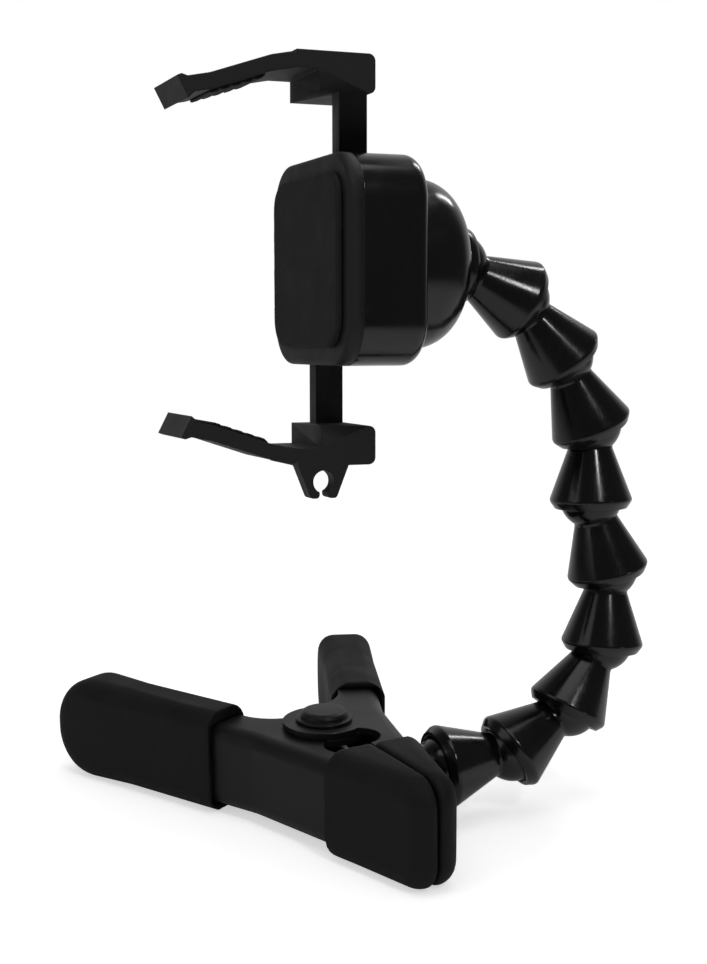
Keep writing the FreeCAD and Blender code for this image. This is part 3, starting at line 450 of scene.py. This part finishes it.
def place_piece(mesh, name, body, material, slot, *nodes):
    """Link a finished mesh as a piece that stands for CAD nodes, riding on a body if one is named."""
    mesh.name = name
    mesh.materials.clear()
    mesh.materials.append(material)
    piece = bpy.data.objects.new(name, mesh)
    bpy.context.scene.collection.objects.link(piece)
    if nodes:
        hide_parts(*nodes)
    if body is not None:
        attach(piece, body)
    return piece


def merged_copy(node, sharp=35.0):
    """A CAD node's mesh with its loose triangles joined, smooth but for its sharp edges."""
    mesh = frame["nodes"][node].data.copy()
    joined = bmesh.new()
    joined.from_mesh(mesh)
    bmesh.ops.remove_doubles(joined, verts=joined.verts, dist=1e-6)
    bmesh.ops.dissolve_degenerate(joined, edges=joined.edges, dist=1e-7)
    for face in joined.faces:
        face.smooth = True
    joined.to_mesh(mesh)
    joined.free()
    mesh.set_sharp_from_angle(angle=math.radians(sharp))
    return mesh


def body_of(node):
    """The body that carries a CAD node."""
    return frame["nodes"][node]["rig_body"]


def skin(node, material, slot, sharp=35.0):
    """Show a CAD node as a smooth skin of the same shape."""
    return place_piece(merged_copy(node, sharp), node + "_skin", body_of(node), material, slot, node)


def evaluated_mesh(holder):
    """Plain mesh of an object with its modifiers, which then go with the object."""
    bpy.context.view_layer.update()
    depsgraph = bpy.context.evaluated_depsgraph_get()
    mesh = bpy.data.meshes.new_from_object(holder.evaluated_get(depsgraph))
    source = holder.data
    bpy.data.objects.remove(holder)
    bpy.data.meshes.remove(source)
    return mesh


def holder_for(mesh):
    """Unplaced object that carries a mesh through its modifiers."""
    holder = bpy.data.objects.new("holder", mesh)
    bpy.context.scene.collection.objects.link(holder)
    return holder


def softened(node, voxel, rounds):
    """A CAD node's mesh as one even skin with every edge relaxed."""
    holder = holder_for(merged_copy(node))
    remesh = holder.modifiers.new("skin", "REMESH")
    remesh.mode = "VOXEL"
    remesh.voxel_size = voxel
    remesh.use_smooth_shade = True
    relax = holder.modifiers.new("relax", "SMOOTH")
    relax.factor = 0.5
    relax.iterations = rounds
    return evaluated_mesh(holder)


def middle_of(mesh):
    """Middle of a mesh's box."""
    spots = [vertex.co for vertex in mesh.vertices]
    low = Vector([min(spot[k] for spot in spots) for k in range(3)])
    high = Vector([max(spot[k] for spot in spots) for k in range(3)])
    return (low + high) / 2.0


def dented(mesh, dent, seed, taut=None):
    """Press shallow dents into the outside of a soft piece, but none round a place where it is taut."""
    middle = middle_of(mesh)
    offset = Vector((seed * 0.37, seed * 0.11, seed * 0.53))
    normals = [vertex.normal.copy() for vertex in mesh.vertices]
    for vertex, normal in zip(mesh.vertices, normals):
        if normal.dot(vertex.co - middle) <= 0.0:
            continue
        wide = 0.5 + 0.5 * noise.noise(vertex.co * per_mm(DENT_BROAD) + offset)
        fine = 0.5 + 0.5 * noise.noise(vertex.co * per_mm(DENT_SMALL) + offset)
        loose = 1.0
        if taut is not None:
            loose = max(0.0, min(1.0, ((vertex.co - taut).length - TAUT_REACH) / TAUT_FADE))
        vertex.co -= normal * dent * loose * (0.8 * wide * wide + 0.2 * fine)
    mesh.update()


def grip_axes(mesh, pivot):
    """A grip's middle, its level direction away from the pivot, and its free end's place along that."""
    middle = middle_of(mesh)
    spread = [0.0, 0.0, 0.0]
    for vertex in mesh.vertices:
        x, y = vertex.co.x - middle.x, vertex.co.y - middle.y
        spread = [spread[0] + x * x, spread[1] + y * y, spread[2] + x * y]
    lean = 0.5 * math.atan2(2.0 * spread[2], spread[0] - spread[1])
    along = Vector((math.cos(lean), math.sin(lean), 0.0))
    if along.dot(middle - pivot) < 0.0:
        along.negate()
    return middle, along, max((vertex.co - middle).dot(along) for vertex in mesh.vertices)


def drawn_round(mesh, middle, along, tip, sizes):
    """Draw a grip's edges in to a larger radius, as on a dipped sleeve, less so over the steel."""
    across = Vector((-along.y, along.x, 0.0))
    spots = [vertex.co - middle for vertex in mesh.vertices]
    sides = [spot.dot(across) for spot in spots]
    axis = (max(sides) + min(sides)) / 2.0
    half = (max(sides) - min(sides)) / 2.0
    tall = max(spot.z for spot in spots)
    big = sizes.grip_end_radius
    for vertex, spot in zip(mesh.vertices, spots):
        u, v, w = spot.dot(along), spot.dot(across) - axis, spot.z
        over_end = max(0.0, min(1.0, (u - tip + 2.0 * big) / (2.0 * big - sizes.grip_cap)))
        soft = sizes.grip_soft_radius - over_end * (sizes.grip_soft_radius - sizes.grip_tip_radius)
        centre_u = min(u, tip - big)
        centre_w = max(-(tall - big), min(tall - big, w))
        reach = math.hypot(u - centre_u, w - centre_w)
        side, edge = abs(v) - (half - soft), reach - (big - soft)
        if side <= 0.0 or edge <= 0.0 or math.hypot(side, edge) <= soft:
            continue
        share = soft / math.hypot(side, edge)
        v = math.copysign(half - soft + side * share, v)
        pull = (big - soft + edge * share) / reach
        u, w = centre_u + (u - centre_u) * pull, centre_w + (w - centre_w) * pull
        vertex.co = middle + along * u + across * (v + axis) + Vector((0.0, 0.0, w))
    mesh.update()


LINK_INPUTS = (
    ("Pitch", 13.8 * MM), ("Ball Radius", 5.8 * MM), ("Socket Play", 0.06 * MM),
    ("Bore Radius", 2.9 * MM), ("Neck Radius", 4.1 * MM), ("Neck Length", 4.6 * MM),
    ("Rim Radius", 7.7 * MM), ("Rim End Radius", 6.7 * MM), ("Rim Taper", 1.5 * MM),
    ("Rim Round", 1.0 * MM), ("Lip", 1.3 * MM), ("Mouth", 0.6 * MM), ("Mouth Radius", 6.1 * MM),
)
BALL_STEPS = 18
SOCKET_STEPS = 12
GUIDE_R = 0.1 * MM


def link_tree():
    """Geometry nodes for one arm link: a closed profile turned round the link's axis."""
    tree = bpy.data.node_groups.new("ball_link", "GeometryNodeTree")
    tree.is_modifier = True
    for name, size in LINK_INPUTS:
        socket = tree.interface.new_socket(name=name, in_out="INPUT", socket_type="NodeSocketFloat")
        socket.default_value = size
        socket.subtype = "DISTANCE"
    steps = tree.interface.new_socket(name="Turn Steps", in_out="INPUT", socket_type="NodeSocketInt")
    steps.default_value = 72
    tree.interface.new_socket(name="Material", in_out="INPUT", socket_type="NodeSocketMaterial")
    tree.interface.new_socket(name="Geometry", in_out="OUTPUT", socket_type="NodeSocketGeometry")
    size = add_node(tree, "NodeGroupInput").outputs
    index = add_node(tree, "GeometryNodeInputIndex").outputs["Index"]
    socket_r = add_node(tree, MATHS, {0: size["Ball Radius"], 1: size["Socket Play"]}, operation="ADD")
    lip_z = add_node(tree, MATHS, {0: size["Pitch"], 1: size["Lip"]}, operation="ADD")
    rim_end = add_node(tree, MATHS, {0: lip_z, 1: size["Mouth"]}, operation="ADD")
    rim_z = add_node(tree, MATHS, {0: rim_end, 1: size["Rim Taper"]}, operation="SUBTRACT")

    # Ball from the bore's edge round to the neck, and socket from its lip round to the bore.
    turns = {}
    for name, near, radius, operation in (
        ("bore", size["Bore Radius"], size["Ball Radius"], "ARCCOSINE"),
        ("neck", size["Neck Radius"], size["Ball Radius"], "ARCCOSINE"),
        ("lip", size["Lip"], socket_r, "ARCSINE"),
        ("end", size["Bore Radius"], socket_r, "ARCCOSINE"),
    ):
        share = add_node(tree, MATHS, {0: near, 1: radius}, operation="DIVIDE")
        turns[name] = add_node(tree, MATHS, {0: share}, operation=operation)
    bore_turn = add_node(tree, MATHS, {0: turns["bore"], 1: -1.0}, operation="MULTIPLY")
    end_turn = add_node(tree, MATHS, {0: turns["end"], 1: -1.0}, operation="MULTIPLY")
    first = BALL_STEPS + 4
    ball_turn = add_node(tree, RANGE, {
        "Value": index, "From Min": 0.0, "From Max": float(BALL_STEPS - 1),
        "To Min": bore_turn, "To Max": turns["neck"]})
    socket_turn = add_node(tree, RANGE, {
        "Value": index, "From Min": float(first), "From Max": float(first + SOCKET_STEPS - 1),
        "To Min": turns["lip"], "To Max": end_turn})
    spots = []
    for turn, radius in ((ball_turn, size["Ball Radius"]), (socket_turn, socket_r)):
        for operation in ("COSINE", "SINE"):
            share = add_node(tree, MATHS, {0: turn}, operation=operation)
            spots.append(add_node(tree, MATHS, {0: share, 1: radius}, operation="MULTIPLY"))
    ball_x, ball_z, socket_x, socket_rise = spots
    socket_z = add_node(tree, MATHS, {0: socket_rise, 1: size["Pitch"]}, operation="ADD")

    # Corners between them: cone's foot, rim, drawn-in end and mouth.
    corner = add_node(tree, MATHS, {0: index, 1: float(BALL_STEPS)}, operation="SUBTRACT")
    corner_x = add_node(tree, "GeometryNodeIndexSwitch", data_type="FLOAT")
    corner_z = add_node(tree, "GeometryNodeIndexSwitch", data_type="FLOAT")
    corners = (
        (size["Neck Radius"], size["Neck Length"]),
        (size["Rim Radius"], rim_z),
        (size["Rim End Radius"], rim_end),
        (size["Mouth Radius"], rim_end),
    )
    for switch, part in ((corner_x, 0), (corner_z, 1)):
        while len(switch.index_switch_items) < len(corners):
            switch.index_switch_items.new()
        feed(tree, switch, {"Index": corner})
        feed(tree, switch, {1 + number: spot[part] for number, spot in enumerate(corners)})
    on_ball = add_node(tree, "FunctionNodeCompare", {"A": index, "B": BALL_STEPS},
                       data_type="INT", operation="LESS_THAN")
    on_socket = add_node(tree, "FunctionNodeCompare", {"A": index, "B": first},
                         data_type="INT", operation="GREATER_EQUAL")
    ends = []
    for ball_part, switch, socket_part in ((ball_x, corner_x, socket_x), (ball_z, corner_z, socket_z)):
        late = add_node(tree, "GeometryNodeSwitch", {
            "Switch": on_socket, "False": switch,
            "True": socket_part}, input_type="FLOAT")
        early = add_node(tree, "GeometryNodeSwitch", {
            "Switch": on_ball, "False": late,
            "True": ball_part}, input_type="FLOAT")
        ends.append(early)
    spot = add_node(tree, "ShaderNodeCombineXYZ", {
        "X": add_node(tree, MATHS, {0: ends[0], 1: GUIDE_R}, operation="SUBTRACT"),
        "Y": add_node(tree, MATHS, {0: 0.0, 1: ends[1]}, operation="SUBTRACT")})
    points = add_node(tree, "GeometryNodePoints", {
        "Count": first + SOCKET_STEPS, "Position": spot})
    line = add_node(tree, "GeometryNodePointsToCurves", {
        "Points": points, "Weight": index})
    loop = add_node(tree, "GeometryNodeSetSplineCyclic", {"Geometry": line, "Cyclic": True})
    on_rim = add_node(tree, "FunctionNodeCompare", {"A": index, "B": BALL_STEPS + 1},
                      data_type="INT", operation="EQUAL")
    rounding = add_node(tree, "GeometryNodeSwitch", {
        "Switch": on_rim, "False": 0.12 * MM, "True": size["Rim Round"]}, input_type="FLOAT")
    near_corner = add_node(tree, "FunctionNodeCompare", {"A": corner, "B": 1.5, "Epsilon": 1.6},
                           data_type="FLOAT", operation="EQUAL")
    radius = add_node(tree, "GeometryNodeSwitch", {
        "Switch": near_corner, "False": 0.0,
        "True": rounding}, input_type="FLOAT")
    filleted = add_node(tree, "GeometryNodeFilletCurve", {
        "Curve": loop, "Count": 6,
        "Radius": radius, "Limit Radius": True}, mode="POLY")
    place = add_node(tree, "ShaderNodeSeparateXYZ", {
        "Vector": add_node(tree, "GeometryNodeInputPosition")})
    marked = add_node(tree, "GeometryNodeStoreNamedAttribute", {
        "Geometry": filleted, "Name": "along",
        "Value": add_node(tree, MATHS, {0: place.outputs["Y"], 1: -1.0}, operation="MULTIPLY")},
        data_type="FLOAT", domain="POINT")
    ring = add_node(tree, "GeometryNodeCurvePrimitiveCircle", {
        "Resolution": size["Turn Steps"], "Radius": GUIDE_R}, mode="RADIUS")
    upright = add_node(tree, "GeometryNodeSetCurveNormal", {"Curve": ring}, mode="Z_UP")
    turned = add_node(tree, "GeometryNodeCurveToMesh", {
        "Curve": upright, "Profile Curve": marked})
    smooth = add_node(tree, "GeometryNodeSetShadeSmooth", {"Geometry": turned})
    real = add_node(tree, "GeometryNodeRealizeInstances", {"Geometry": smooth})
    dressed = add_node(tree, "GeometryNodeSetMaterial", {
        "Geometry": real, "Material": size["Material"]})
    add_node(tree, "NodeGroupOutput", {"Geometry": dressed})
    return tree


def grown(tree, values):
    """Plain mesh that a geometry tree makes with these named inputs."""
    holder = holder_for(bpy.data.meshes.new("seed"))
    modifier = holder.modifiers.new("rule", "NODES")
    modifier.node_group = tree
    for item in tree.interface.items_tree:
        if item.item_type == "SOCKET" and item.in_out == "INPUT" and item.name in values:
            modifier[item.identifier] = values[item.name]
    mesh = evaluated_mesh(holder)
    closed = bmesh.new()
    closed.from_mesh(mesh)
    bmesh.ops.remove_doubles(closed, verts=closed.verts, dist=1e-7)
    bmesh.ops.recalc_face_normals(closed, faces=closed.faces)
    closed.to_mesh(mesh)
    closed.free()
    mesh.set_sharp_from_angle(angle=math.radians(38.0))
    return mesh


def screw_tree():
    """Geometry nodes for the four housing screws: crossed recess in a low domed head."""
    tree = bpy.data.node_groups.new("housing_screws", "GeometryNodeTree")
    tree.is_modifier = True
    for name, default in (("Head Radius", 1.8 * MM), ("Head Height", 0.9 * MM),
                          ("Span X", 26.8 * MM), ("Span Y", 23.6 * MM)):
        socket = tree.interface.new_socket(name=name, in_out="INPUT", socket_type="NodeSocketFloat")
        socket.default_value = default
        socket.subtype = "DISTANCE"
    tree.interface.new_socket(name="Material", in_out="INPUT", socket_type="NodeSocketMaterial")
    tree.interface.new_socket(name="Geometry", in_out="OUTPUT", socket_type="NodeSocketGeometry")
    size = add_node(tree, "NodeGroupInput").outputs
    dome = add_node(tree, "GeometryNodeMeshUVSphere", {
        "Segments": 32, "Rings": 16, "Radius": size["Head Radius"]})
    flatness = add_node(tree, MATHS, {
        0: size["Head Height"], 1: size["Head Radius"]}, operation="DIVIDE")
    flat = add_node(tree, "ShaderNodeCombineXYZ", {"X": 1.0, "Y": 1.0, "Z": flatness})
    head = add_node(tree, "GeometryNodeTransform", {
        "Geometry": dome, "Scale": flat})
    wide = add_node(tree, MATHS, {0: size["Head Radius"], 1: 1.15}, operation="MULTIPLY")
    thin = add_node(tree, MATHS, {0: size["Head Radius"], 1: 0.26}, operation="MULTIPLY")
    deep = add_node(tree, MATHS, {0: size["Head Height"], 1: 1.1}, operation="MULTIPLY")
    bars = add_node(tree, "GeometryNodeJoinGeometry")
    for x, y in ((wide, thin), (thin, wide)):
        bar_size = add_node(tree, "ShaderNodeCombineXYZ", {"X": x, "Y": y, "Z": deep})
        bar = add_node(tree, "GeometryNodeMeshCube", {"Size": bar_size})
        rise = add_node(tree, "ShaderNodeCombineXYZ", {"Z": size["Head Height"]})
        lifted = add_node(tree, "GeometryNodeTransform", {
            "Geometry": bar, "Translation": rise})
        feed(tree, bars, {"Geometry": lifted})
    cut = add_node(tree, "GeometryNodeMeshBoolean", {
        "Mesh 1": head, "Mesh 2": bars, "Self Intersection": True},
        operation="DIFFERENCE", solver="EXACT")
    corners = add_node(tree, "GeometryNodeMeshGrid", {
        "Size X": size["Span X"], "Size Y": size["Span Y"], "Vertices X": 2, "Vertices Y": 2})
    spin = add_node(tree, "FunctionNodeRandomValue", {
        "Min": (0.0, 0.0, 0.0), "Max": (0.0, 0.0, 1.5), "Seed": 7}, data_type="FLOAT_VECTOR")
    heads = add_node(tree, "GeometryNodeInstanceOnPoints", {
        "Points": corners, "Instance": cut, "Rotation": spin})
    real = add_node(tree, "GeometryNodeRealizeInstances", {"Geometry": heads})
    dressed = add_node(tree, "GeometryNodeSetMaterial", {
        "Geometry": real, "Material": size["Material"]})
    add_node(tree, "NodeGroupOutput", {"Geometry": dressed})
    return tree


class CLAMP_HOLDER_OT_steel(bpy.types.Operator):
    """Enamelled clamp halves and their rivet"""

    bl_idname = "clamp_holder.steel"
    bl_label = "Steel halves and rivet"

    def execute(self, context):
        enamel = finish_of("enamel", enamelled_steel, context.scene.clamp_holder_colours)
        for node in ("clamp_rear_arm", "clamp_front_arm", "pivot_rivet"):
            skin(node, enamel, "black_steel", 25.0)
        return {"FINISHED"}


class CLAMP_HOLDER_OT_spring(bpy.types.Operator):
    """Torsion spring and the stud's screw"""

    bl_idname = "clamp_holder.spring"
    bl_label = "Spring and stud screw"

    def execute(self, context):
        wire = finish_of("wire", oiled_spring_wire, context.scene.clamp_holder_colours)
        skin("stud_screw", wire, "spring_steel")
        mesh = merged_copy("torsion_spring")
        spring = place_piece(mesh, "torsion_spring_coil", None, wire, "spring_steel", "torsion_spring")
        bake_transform(spring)
        return {"FINISHED"}


class CLAMP_HOLDER_OT_sleeves(bpy.types.Operator):
    """Soft vinyl handle grips and jaw pads"""

    bl_idname = "clamp_holder.sleeves"
    bl_label = "Vinyl grips and jaw pads"

    def execute(self, context):
        sizes = context.scene.clamp_holder_sizes
        vinyl = finish_of("vinyl", dipped_vinyl, context.scene.clamp_holder_colours)
        pivot = Vector(JOINTS["clamp_pivot"]["pos_m"])
        for node, share, seed in (("front_handle_grip", 1.0, 3), ("rear_handle_grip", 1.3, 5)):
            mesh = softened(node, sizes.vinyl_voxel, 9)
            middle, along, tip = grip_axes(mesh, pivot)
            steel_end = middle + along * (tip - sizes.grip_cap)
            dented(mesh, share * sizes.vinyl_dent, seed, steel_end)
            drawn_round(mesh, middle, along, tip, sizes)
            place_piece(mesh, node + "_sleeve", body_of(node), vinyl, "black_vinyl", node)
        for node, seed in (("front_jaw_pad", 12), ("rear_jaw_pad", 19)):
            mesh = softened(node, sizes.vinyl_voxel, 9)
            dented(mesh, 0.4 * sizes.vinyl_dent, seed)
            place_piece(mesh, node + "_sleeve", body_of(node), vinyl, "black_vinyl", node)
        return {"FINISHED"}


class CLAMP_HOLDER_OT_links(bpy.types.Operator):
    """Nine ball-and-socket links of the arm"""

    bl_idname = "clamp_holder.links"
    bl_label = "Arm links"

    def execute(self, context):
        sizes = context.scene.clamp_holder_sizes
        acetal = finish_of("acetal", moulded_acetal, context.scene.clamp_holder_colours)
        tree = link_tree()
        values = {"Turn Steps": sizes.turn_steps, "Material": acetal}
        for name, _ in LINK_INPUTS[1:]:
            values[name] = getattr(sizes, name.lower().replace(" ", "_"))
        centres = [Vector(JOINTS["hub_joint"]["pos_m"])]
        centres += [Vector(JOINTS["arm_joint_%d" % n]["pos_m"]) for n in range(1, LINKS + 1)]
        for number in range(1, LINKS + 1):
            ball, cup = centres[number - 1], centres[number]
            values["Pitch"] = (cup - ball).length
            mesh = grown(tree, values)
            turn = (cup - ball).to_track_quat("Z", "Y").to_matrix().to_4x4()
            mesh.transform(Matrix.Translation(ball) @ turn)
            node = "arm_link_%d" % number
            place_piece(mesh, node + "_shell", body_of(node), acetal, "gloss_black_plastic", node)
        return {"FINISHED"}


class CLAMP_HOLDER_OT_ball_ends(bpy.types.Operator):
    """Ball stud on the clamp and the turning hub socket"""

    bl_idname = "clamp_holder.ball_ends"
    bl_label = "Stud and hub"

    def execute(self, context):
        acetal = finish_of("acetal", moulded_acetal, context.scene.clamp_holder_colours)
        for node in ("ball_stud", "hub_socket"):
            skin(node, acetal, "gloss_black_plastic")
        return {"FINISHED"}


class CLAMP_HOLDER_OT_housing(bpy.types.Operator):
    """Domed housing, its cover and the rubber seat"""

    bl_idname = "clamp_holder.housing"
    bl_label = "Cradle housing"

    def execute(self, context):
        colours = context.scene.clamp_holder_colours
        polished = finish_of("shell", polished_abs, colours)
        matt = finish_of("jaw", spark_textured_abs, colours)
        skin("cradle_rear_shell", polished, "gloss_black_plastic", 28.0)
        skin("cradle_front_cover", matt, "matte_black_plastic", 28.0)
        sizes = context.scene.clamp_holder_sizes
        seat = softened("cradle_back_pad", sizes.seat_voxel, 4)
        dented(seat, sizes.rubber_dent, 23)
        rubber = finish_of("rubber", moulded_rubber, colours)
        place_piece(seat, "cradle_back_pad_soft", "cradle", rubber, "black_rubber", "cradle_back_pad")
        return {"FINISHED"}


class CLAMP_HOLDER_OT_screws(bpy.types.Operator):
    """Four crossed screws in the back of the housing"""

    bl_idname = "clamp_holder.screws"
    bl_label = "Housing screws"

    def execute(self, context):
        sizes = context.scene.clamp_holder_sizes
        steel = finish_of("screw", blackened_screw_steel)
        mesh = grown(screw_tree(), {
            "Head Radius": sizes.screw_radius, "Head Height": sizes.screw_height,
            "Span X": sizes.screw_span_x, "Span Y": sizes.screw_span_z, "Material": steel,
        })
        hub = Vector(JOINTS["cradle_turn"]["pos_m"])
        back = Vector(JOINTS["cradle_turn"]["axis"]).normalized()
        up = Vector(JOINTS["upper_jaw_slide"]["axis"]).normalized()
        across = up.cross(back)
        turn = Matrix((across, up, back)).transposed().to_4x4()
        mesh.transform(Matrix.Translation(hub - back * sizes.screw_depth) @ turn)
        place_piece(mesh, "housing_screws", "cradle", steel, "spring_steel")
        return {"FINISHED"}


class CLAMP_HOLDER_OT_jaws(bpy.types.Operator):
    """Two sliding jaws, their ribbed pads and the pinion between their racks"""

    bl_idname = "clamp_holder.jaws"
    bl_label = "Jaws, pads and pinion"

    def execute(self, context):
        colours = context.scene.clamp_holder_colours
        for node in ("upper_jaw", "lower_jaw"):
            skin(node, finish_of("jaw", spark_textured_abs, colours), "matte_black_plastic", 25.0)
        sizes = context.scene.clamp_holder_sizes
        rubber = finish_of("rubber", moulded_rubber, colours)
        for node, seed in (("upper_jaw_pad", 27), ("lower_jaw_pad", 31)):
            pad = softened(node, sizes.rib_voxel, 3)
            dented(pad, 0.4 * sizes.rubber_dent, seed)
            place_piece(pad, node + "_soft", body_of(node), rubber, "black_rubber", node)
        skin("jaw_pinion", finish_of("pinion", natural_acetal, colours), "white_acetal")
        return {"FINISHED"}


def area_light(name, place, target, width, height, power):
    """Soft rectangular lamp aimed at a point."""
    lamp = bpy.data.lights.new(name, "AREA")
    lamp.shape = "RECTANGLE"
    lamp.size = width
    lamp.size_y = height
    lamp.energy = power
    holder = bpy.data.objects.new(name, lamp)
    holder.location = place
    holder.rotation_euler = (Vector(target) - Vector(place)).to_track_quat("-Z", "Y").to_euler()
    bpy.context.scene.collection.objects.link(holder)


class CLAMP_HOLDER_OT_studio(bpy.types.Operator):
    """Pale floor, white surroundings, soft lamps and the camera"""

    bl_idname = "clamp_holder.studio"
    bl_label = "Studio"

    def execute(self, context):
        scene = context.scene
        colours = scene.clamp_holder_colours
        scene.view_settings.view_transform = "Standard"
        material, tree, shader, place = fresh_material("pale_floor")
        # Matt paper that fades out well away from the object, so that no horizon shows.
        fibre = add_node(tree, NOISE, {
            "Vector": place, "Scale": per_mm(60.0), "Detail": 3.0})
        tone = add_node(tree, MIX, {
            "Factor": fibre, "A": colours.floor, "B": linear("#f0f0ef")}, data_type="RGBA")
        feed(tree, shader, {"Base Color": tone, "Roughness": 0.9, "Specular IOR Level": 0.1})
        away = add_node(tree, "ShaderNodeVectorMath", {0: place}, operation="LENGTH")
        gone = add_node(tree, RANGE, {
            "Value": away, "From Min": FLOOR_FADE[0], "From Max": FLOOR_FADE[1]},
            interpolation_type="SMOOTHSTEP")
        clear = add_node(tree, "ShaderNodeBsdfTransparent")
        # The paper is lifted to white where the camera sees it, and keeps the shadow.
        path = add_node(tree, "ShaderNodeLightPath")
        lift = add_node(tree, MATHS, {
            0: path.outputs["Is Camera Ray"], 1: FLOOR_LIFT}, operation="MULTIPLY")
        glow = add_node(tree, "ShaderNodeEmission", {"Strength": lift})
        lifted = add_node(tree, "ShaderNodeAddShader", {0: shader, 1: glow})
        faded = add_node(tree, "ShaderNodeMixShader", {"Fac": gone, 1: lifted, 2: clear})
        feed(tree, tree.nodes["Material Output"], {"Surface": faded})
        mesh = bpy.data.meshes.new("studio_floor")
        reach = FLOOR_REACH
        mesh.from_pydata(
            [(-reach, -reach, 0.0), (reach, -reach, 0.0), (reach, reach, 0.0), (-reach, reach, 0.0)],
            [], [(0, 1, 2, 3)])
        mesh.materials.append(material)
        floor = bpy.data.objects.new("studio_floor", mesh)
        floor.location.z = -FLOOR_GAP
        scene.collection.objects.link(floor)

        # White room behind the object; the wall behind the camera is dark, which keeps the blacks deep.
        world = bpy.data.worlds.new("white_room")
        world.use_nodes = True
        scene.world = world
        sky = world.node_tree
        sky.nodes.clear()
        path = add_node(sky, "ShaderNodeLightPath")
        heading = math.radians(CAMERA_HEADING)
        towards_camera = (math.sin(heading), -math.cos(heading), 0.0)
        way = add_node(sky, "ShaderNodeVectorMath", {
            0: add_node(sky, "ShaderNodeTexCoord").outputs["Generated"], 1: towards_camera},
            operation="DOT_PRODUCT")
        wall = add_node(sky, RANGE, {
            "Value": way, "From Min": -0.9, "From Max": -0.3,
            "To Min": ROOM_BEHIND, "To Max": ROOM_FRONT},
            interpolation_type="SMOOTHSTEP")
        lit = add_node(sky, MIX, {
            "Factor": path.outputs["Is Glossy Ray"], "A": ROOM_LIGHT, "B": wall})
        seen = add_node(sky, MATHS, {
            0: path.outputs["Is Camera Ray"], 1: path.outputs["Is Transmission Ray"]},
            operation="MAXIMUM")
        level = add_node(sky, MIX, {
            "Factor": seen, "A": lit, "B": 1.0})
        light = add_node(sky, "ShaderNodeBackground", {
            "Color": (1.0, 1.0, 1.0, 1.0), "Strength": level})
        add_node(sky, "ShaderNodeOutputWorld", {"Surface": light})

        middle = (0.0, 0.0, 0.06)
        arm = (0.015, 0.03, 0.09)
        area_light("overhead_softbox", (0.10, -0.05, 0.85), middle, 0.70, 0.70, 1.9)
        area_light("near_lamp", (0.56, 0.07, 0.53), arm, 0.07, 0.12, 0.75)
        area_light("far_strip", (-0.26, 0.46, 0.56), arm, 0.06, 0.30, 0.8)
        area_light("left_softbox", (0.05, -0.80, 0.40), middle, 0.50, 0.50, 0.6)

        camera = bpy.data.cameras.new("photo_camera")
        camera.lens = CAMERA_LENS
        camera.sensor_width = 36.0
        camera.clip_start = 0.01
        holder = bpy.data.objects.new("photo_camera", camera)
        holder.location = CAMERA_PLACE
        tilt = Matrix.Rotation(math.radians(90.0 - CAMERA_DROP), 3, "X")
        roll = Matrix.Rotation(math.radians(CAMERA_ROLL), 3, "Z")
        holder.rotation_euler = (Matrix.Rotation(heading, 3, "Z") @ tilt @ roll).to_euler()
        scene.collection.objects.link(holder)
        scene.camera = holder
        return {"FINISHED"}


class CLAMP_HOLDER_PT_pieces(bpy.types.Panel):
    """Pieces, sizes and colours of the clamp holder"""

    bl_label = "Clamp holder"
    bl_idname = "CLAMP_HOLDER_PT_pieces"
    bl_space_type = "VIEW_3D"
    bl_region_type = "UI"
    bl_category = "Clamp holder"

    def draw(self, context):
        for operator in OPERATORS:
            self.layout.operator(operator.bl_idname)
        for group in (context.scene.clamp_holder_sizes, context.scene.clamp_holder_colours):
            for name in group.__annotations__:
                self.layout.prop(group, name)


OPERATORS = (
    CLAMP_HOLDER_OT_steel,
    CLAMP_HOLDER_OT_spring,
    CLAMP_HOLDER_OT_sleeves,
    CLAMP_HOLDER_OT_links,
    CLAMP_HOLDER_OT_ball_ends,
    CLAMP_HOLDER_OT_housing,
    CLAMP_HOLDER_OT_screws,
    CLAMP_HOLDER_OT_jaws,
    CLAMP_HOLDER_OT_studio,
)
CLASSES = (ClampHolderSizes, ClampHolderColours, *OPERATORS, CLAMP_HOLDER_PT_pieces)


def register():
    for made in CLASSES:
        bpy.utils.register_class(made)
    bpy.types.Scene.clamp_holder_sizes = bpy.props.PointerProperty(type=ClampHolderSizes)
    bpy.types.Scene.clamp_holder_colours = bpy.props.PointerProperty(type=ClampHolderColours)


def unregister():
    del bpy.types.Scene.clamp_holder_colours
    del bpy.types.Scene.clamp_holder_sizes
    for made in reversed(CLASSES):
        bpy.utils.unregister_class(made)


def main():
    """Dress the frame piece by piece."""
    register()
    bpy.ops.clamp_holder.steel()
    bpy.ops.clamp_holder.spring()
    bpy.ops.clamp_holder.sleeves()
    bpy.ops.clamp_holder.links()
    bpy.ops.clamp_holder.ball_ends()
    bpy.ops.clamp_holder.housing()
    bpy.ops.clamp_holder.screws()
    bpy.ops.clamp_holder.jaws()
    bpy.ops.clamp_holder.studio()


if __name__ == "__main__":
    main()
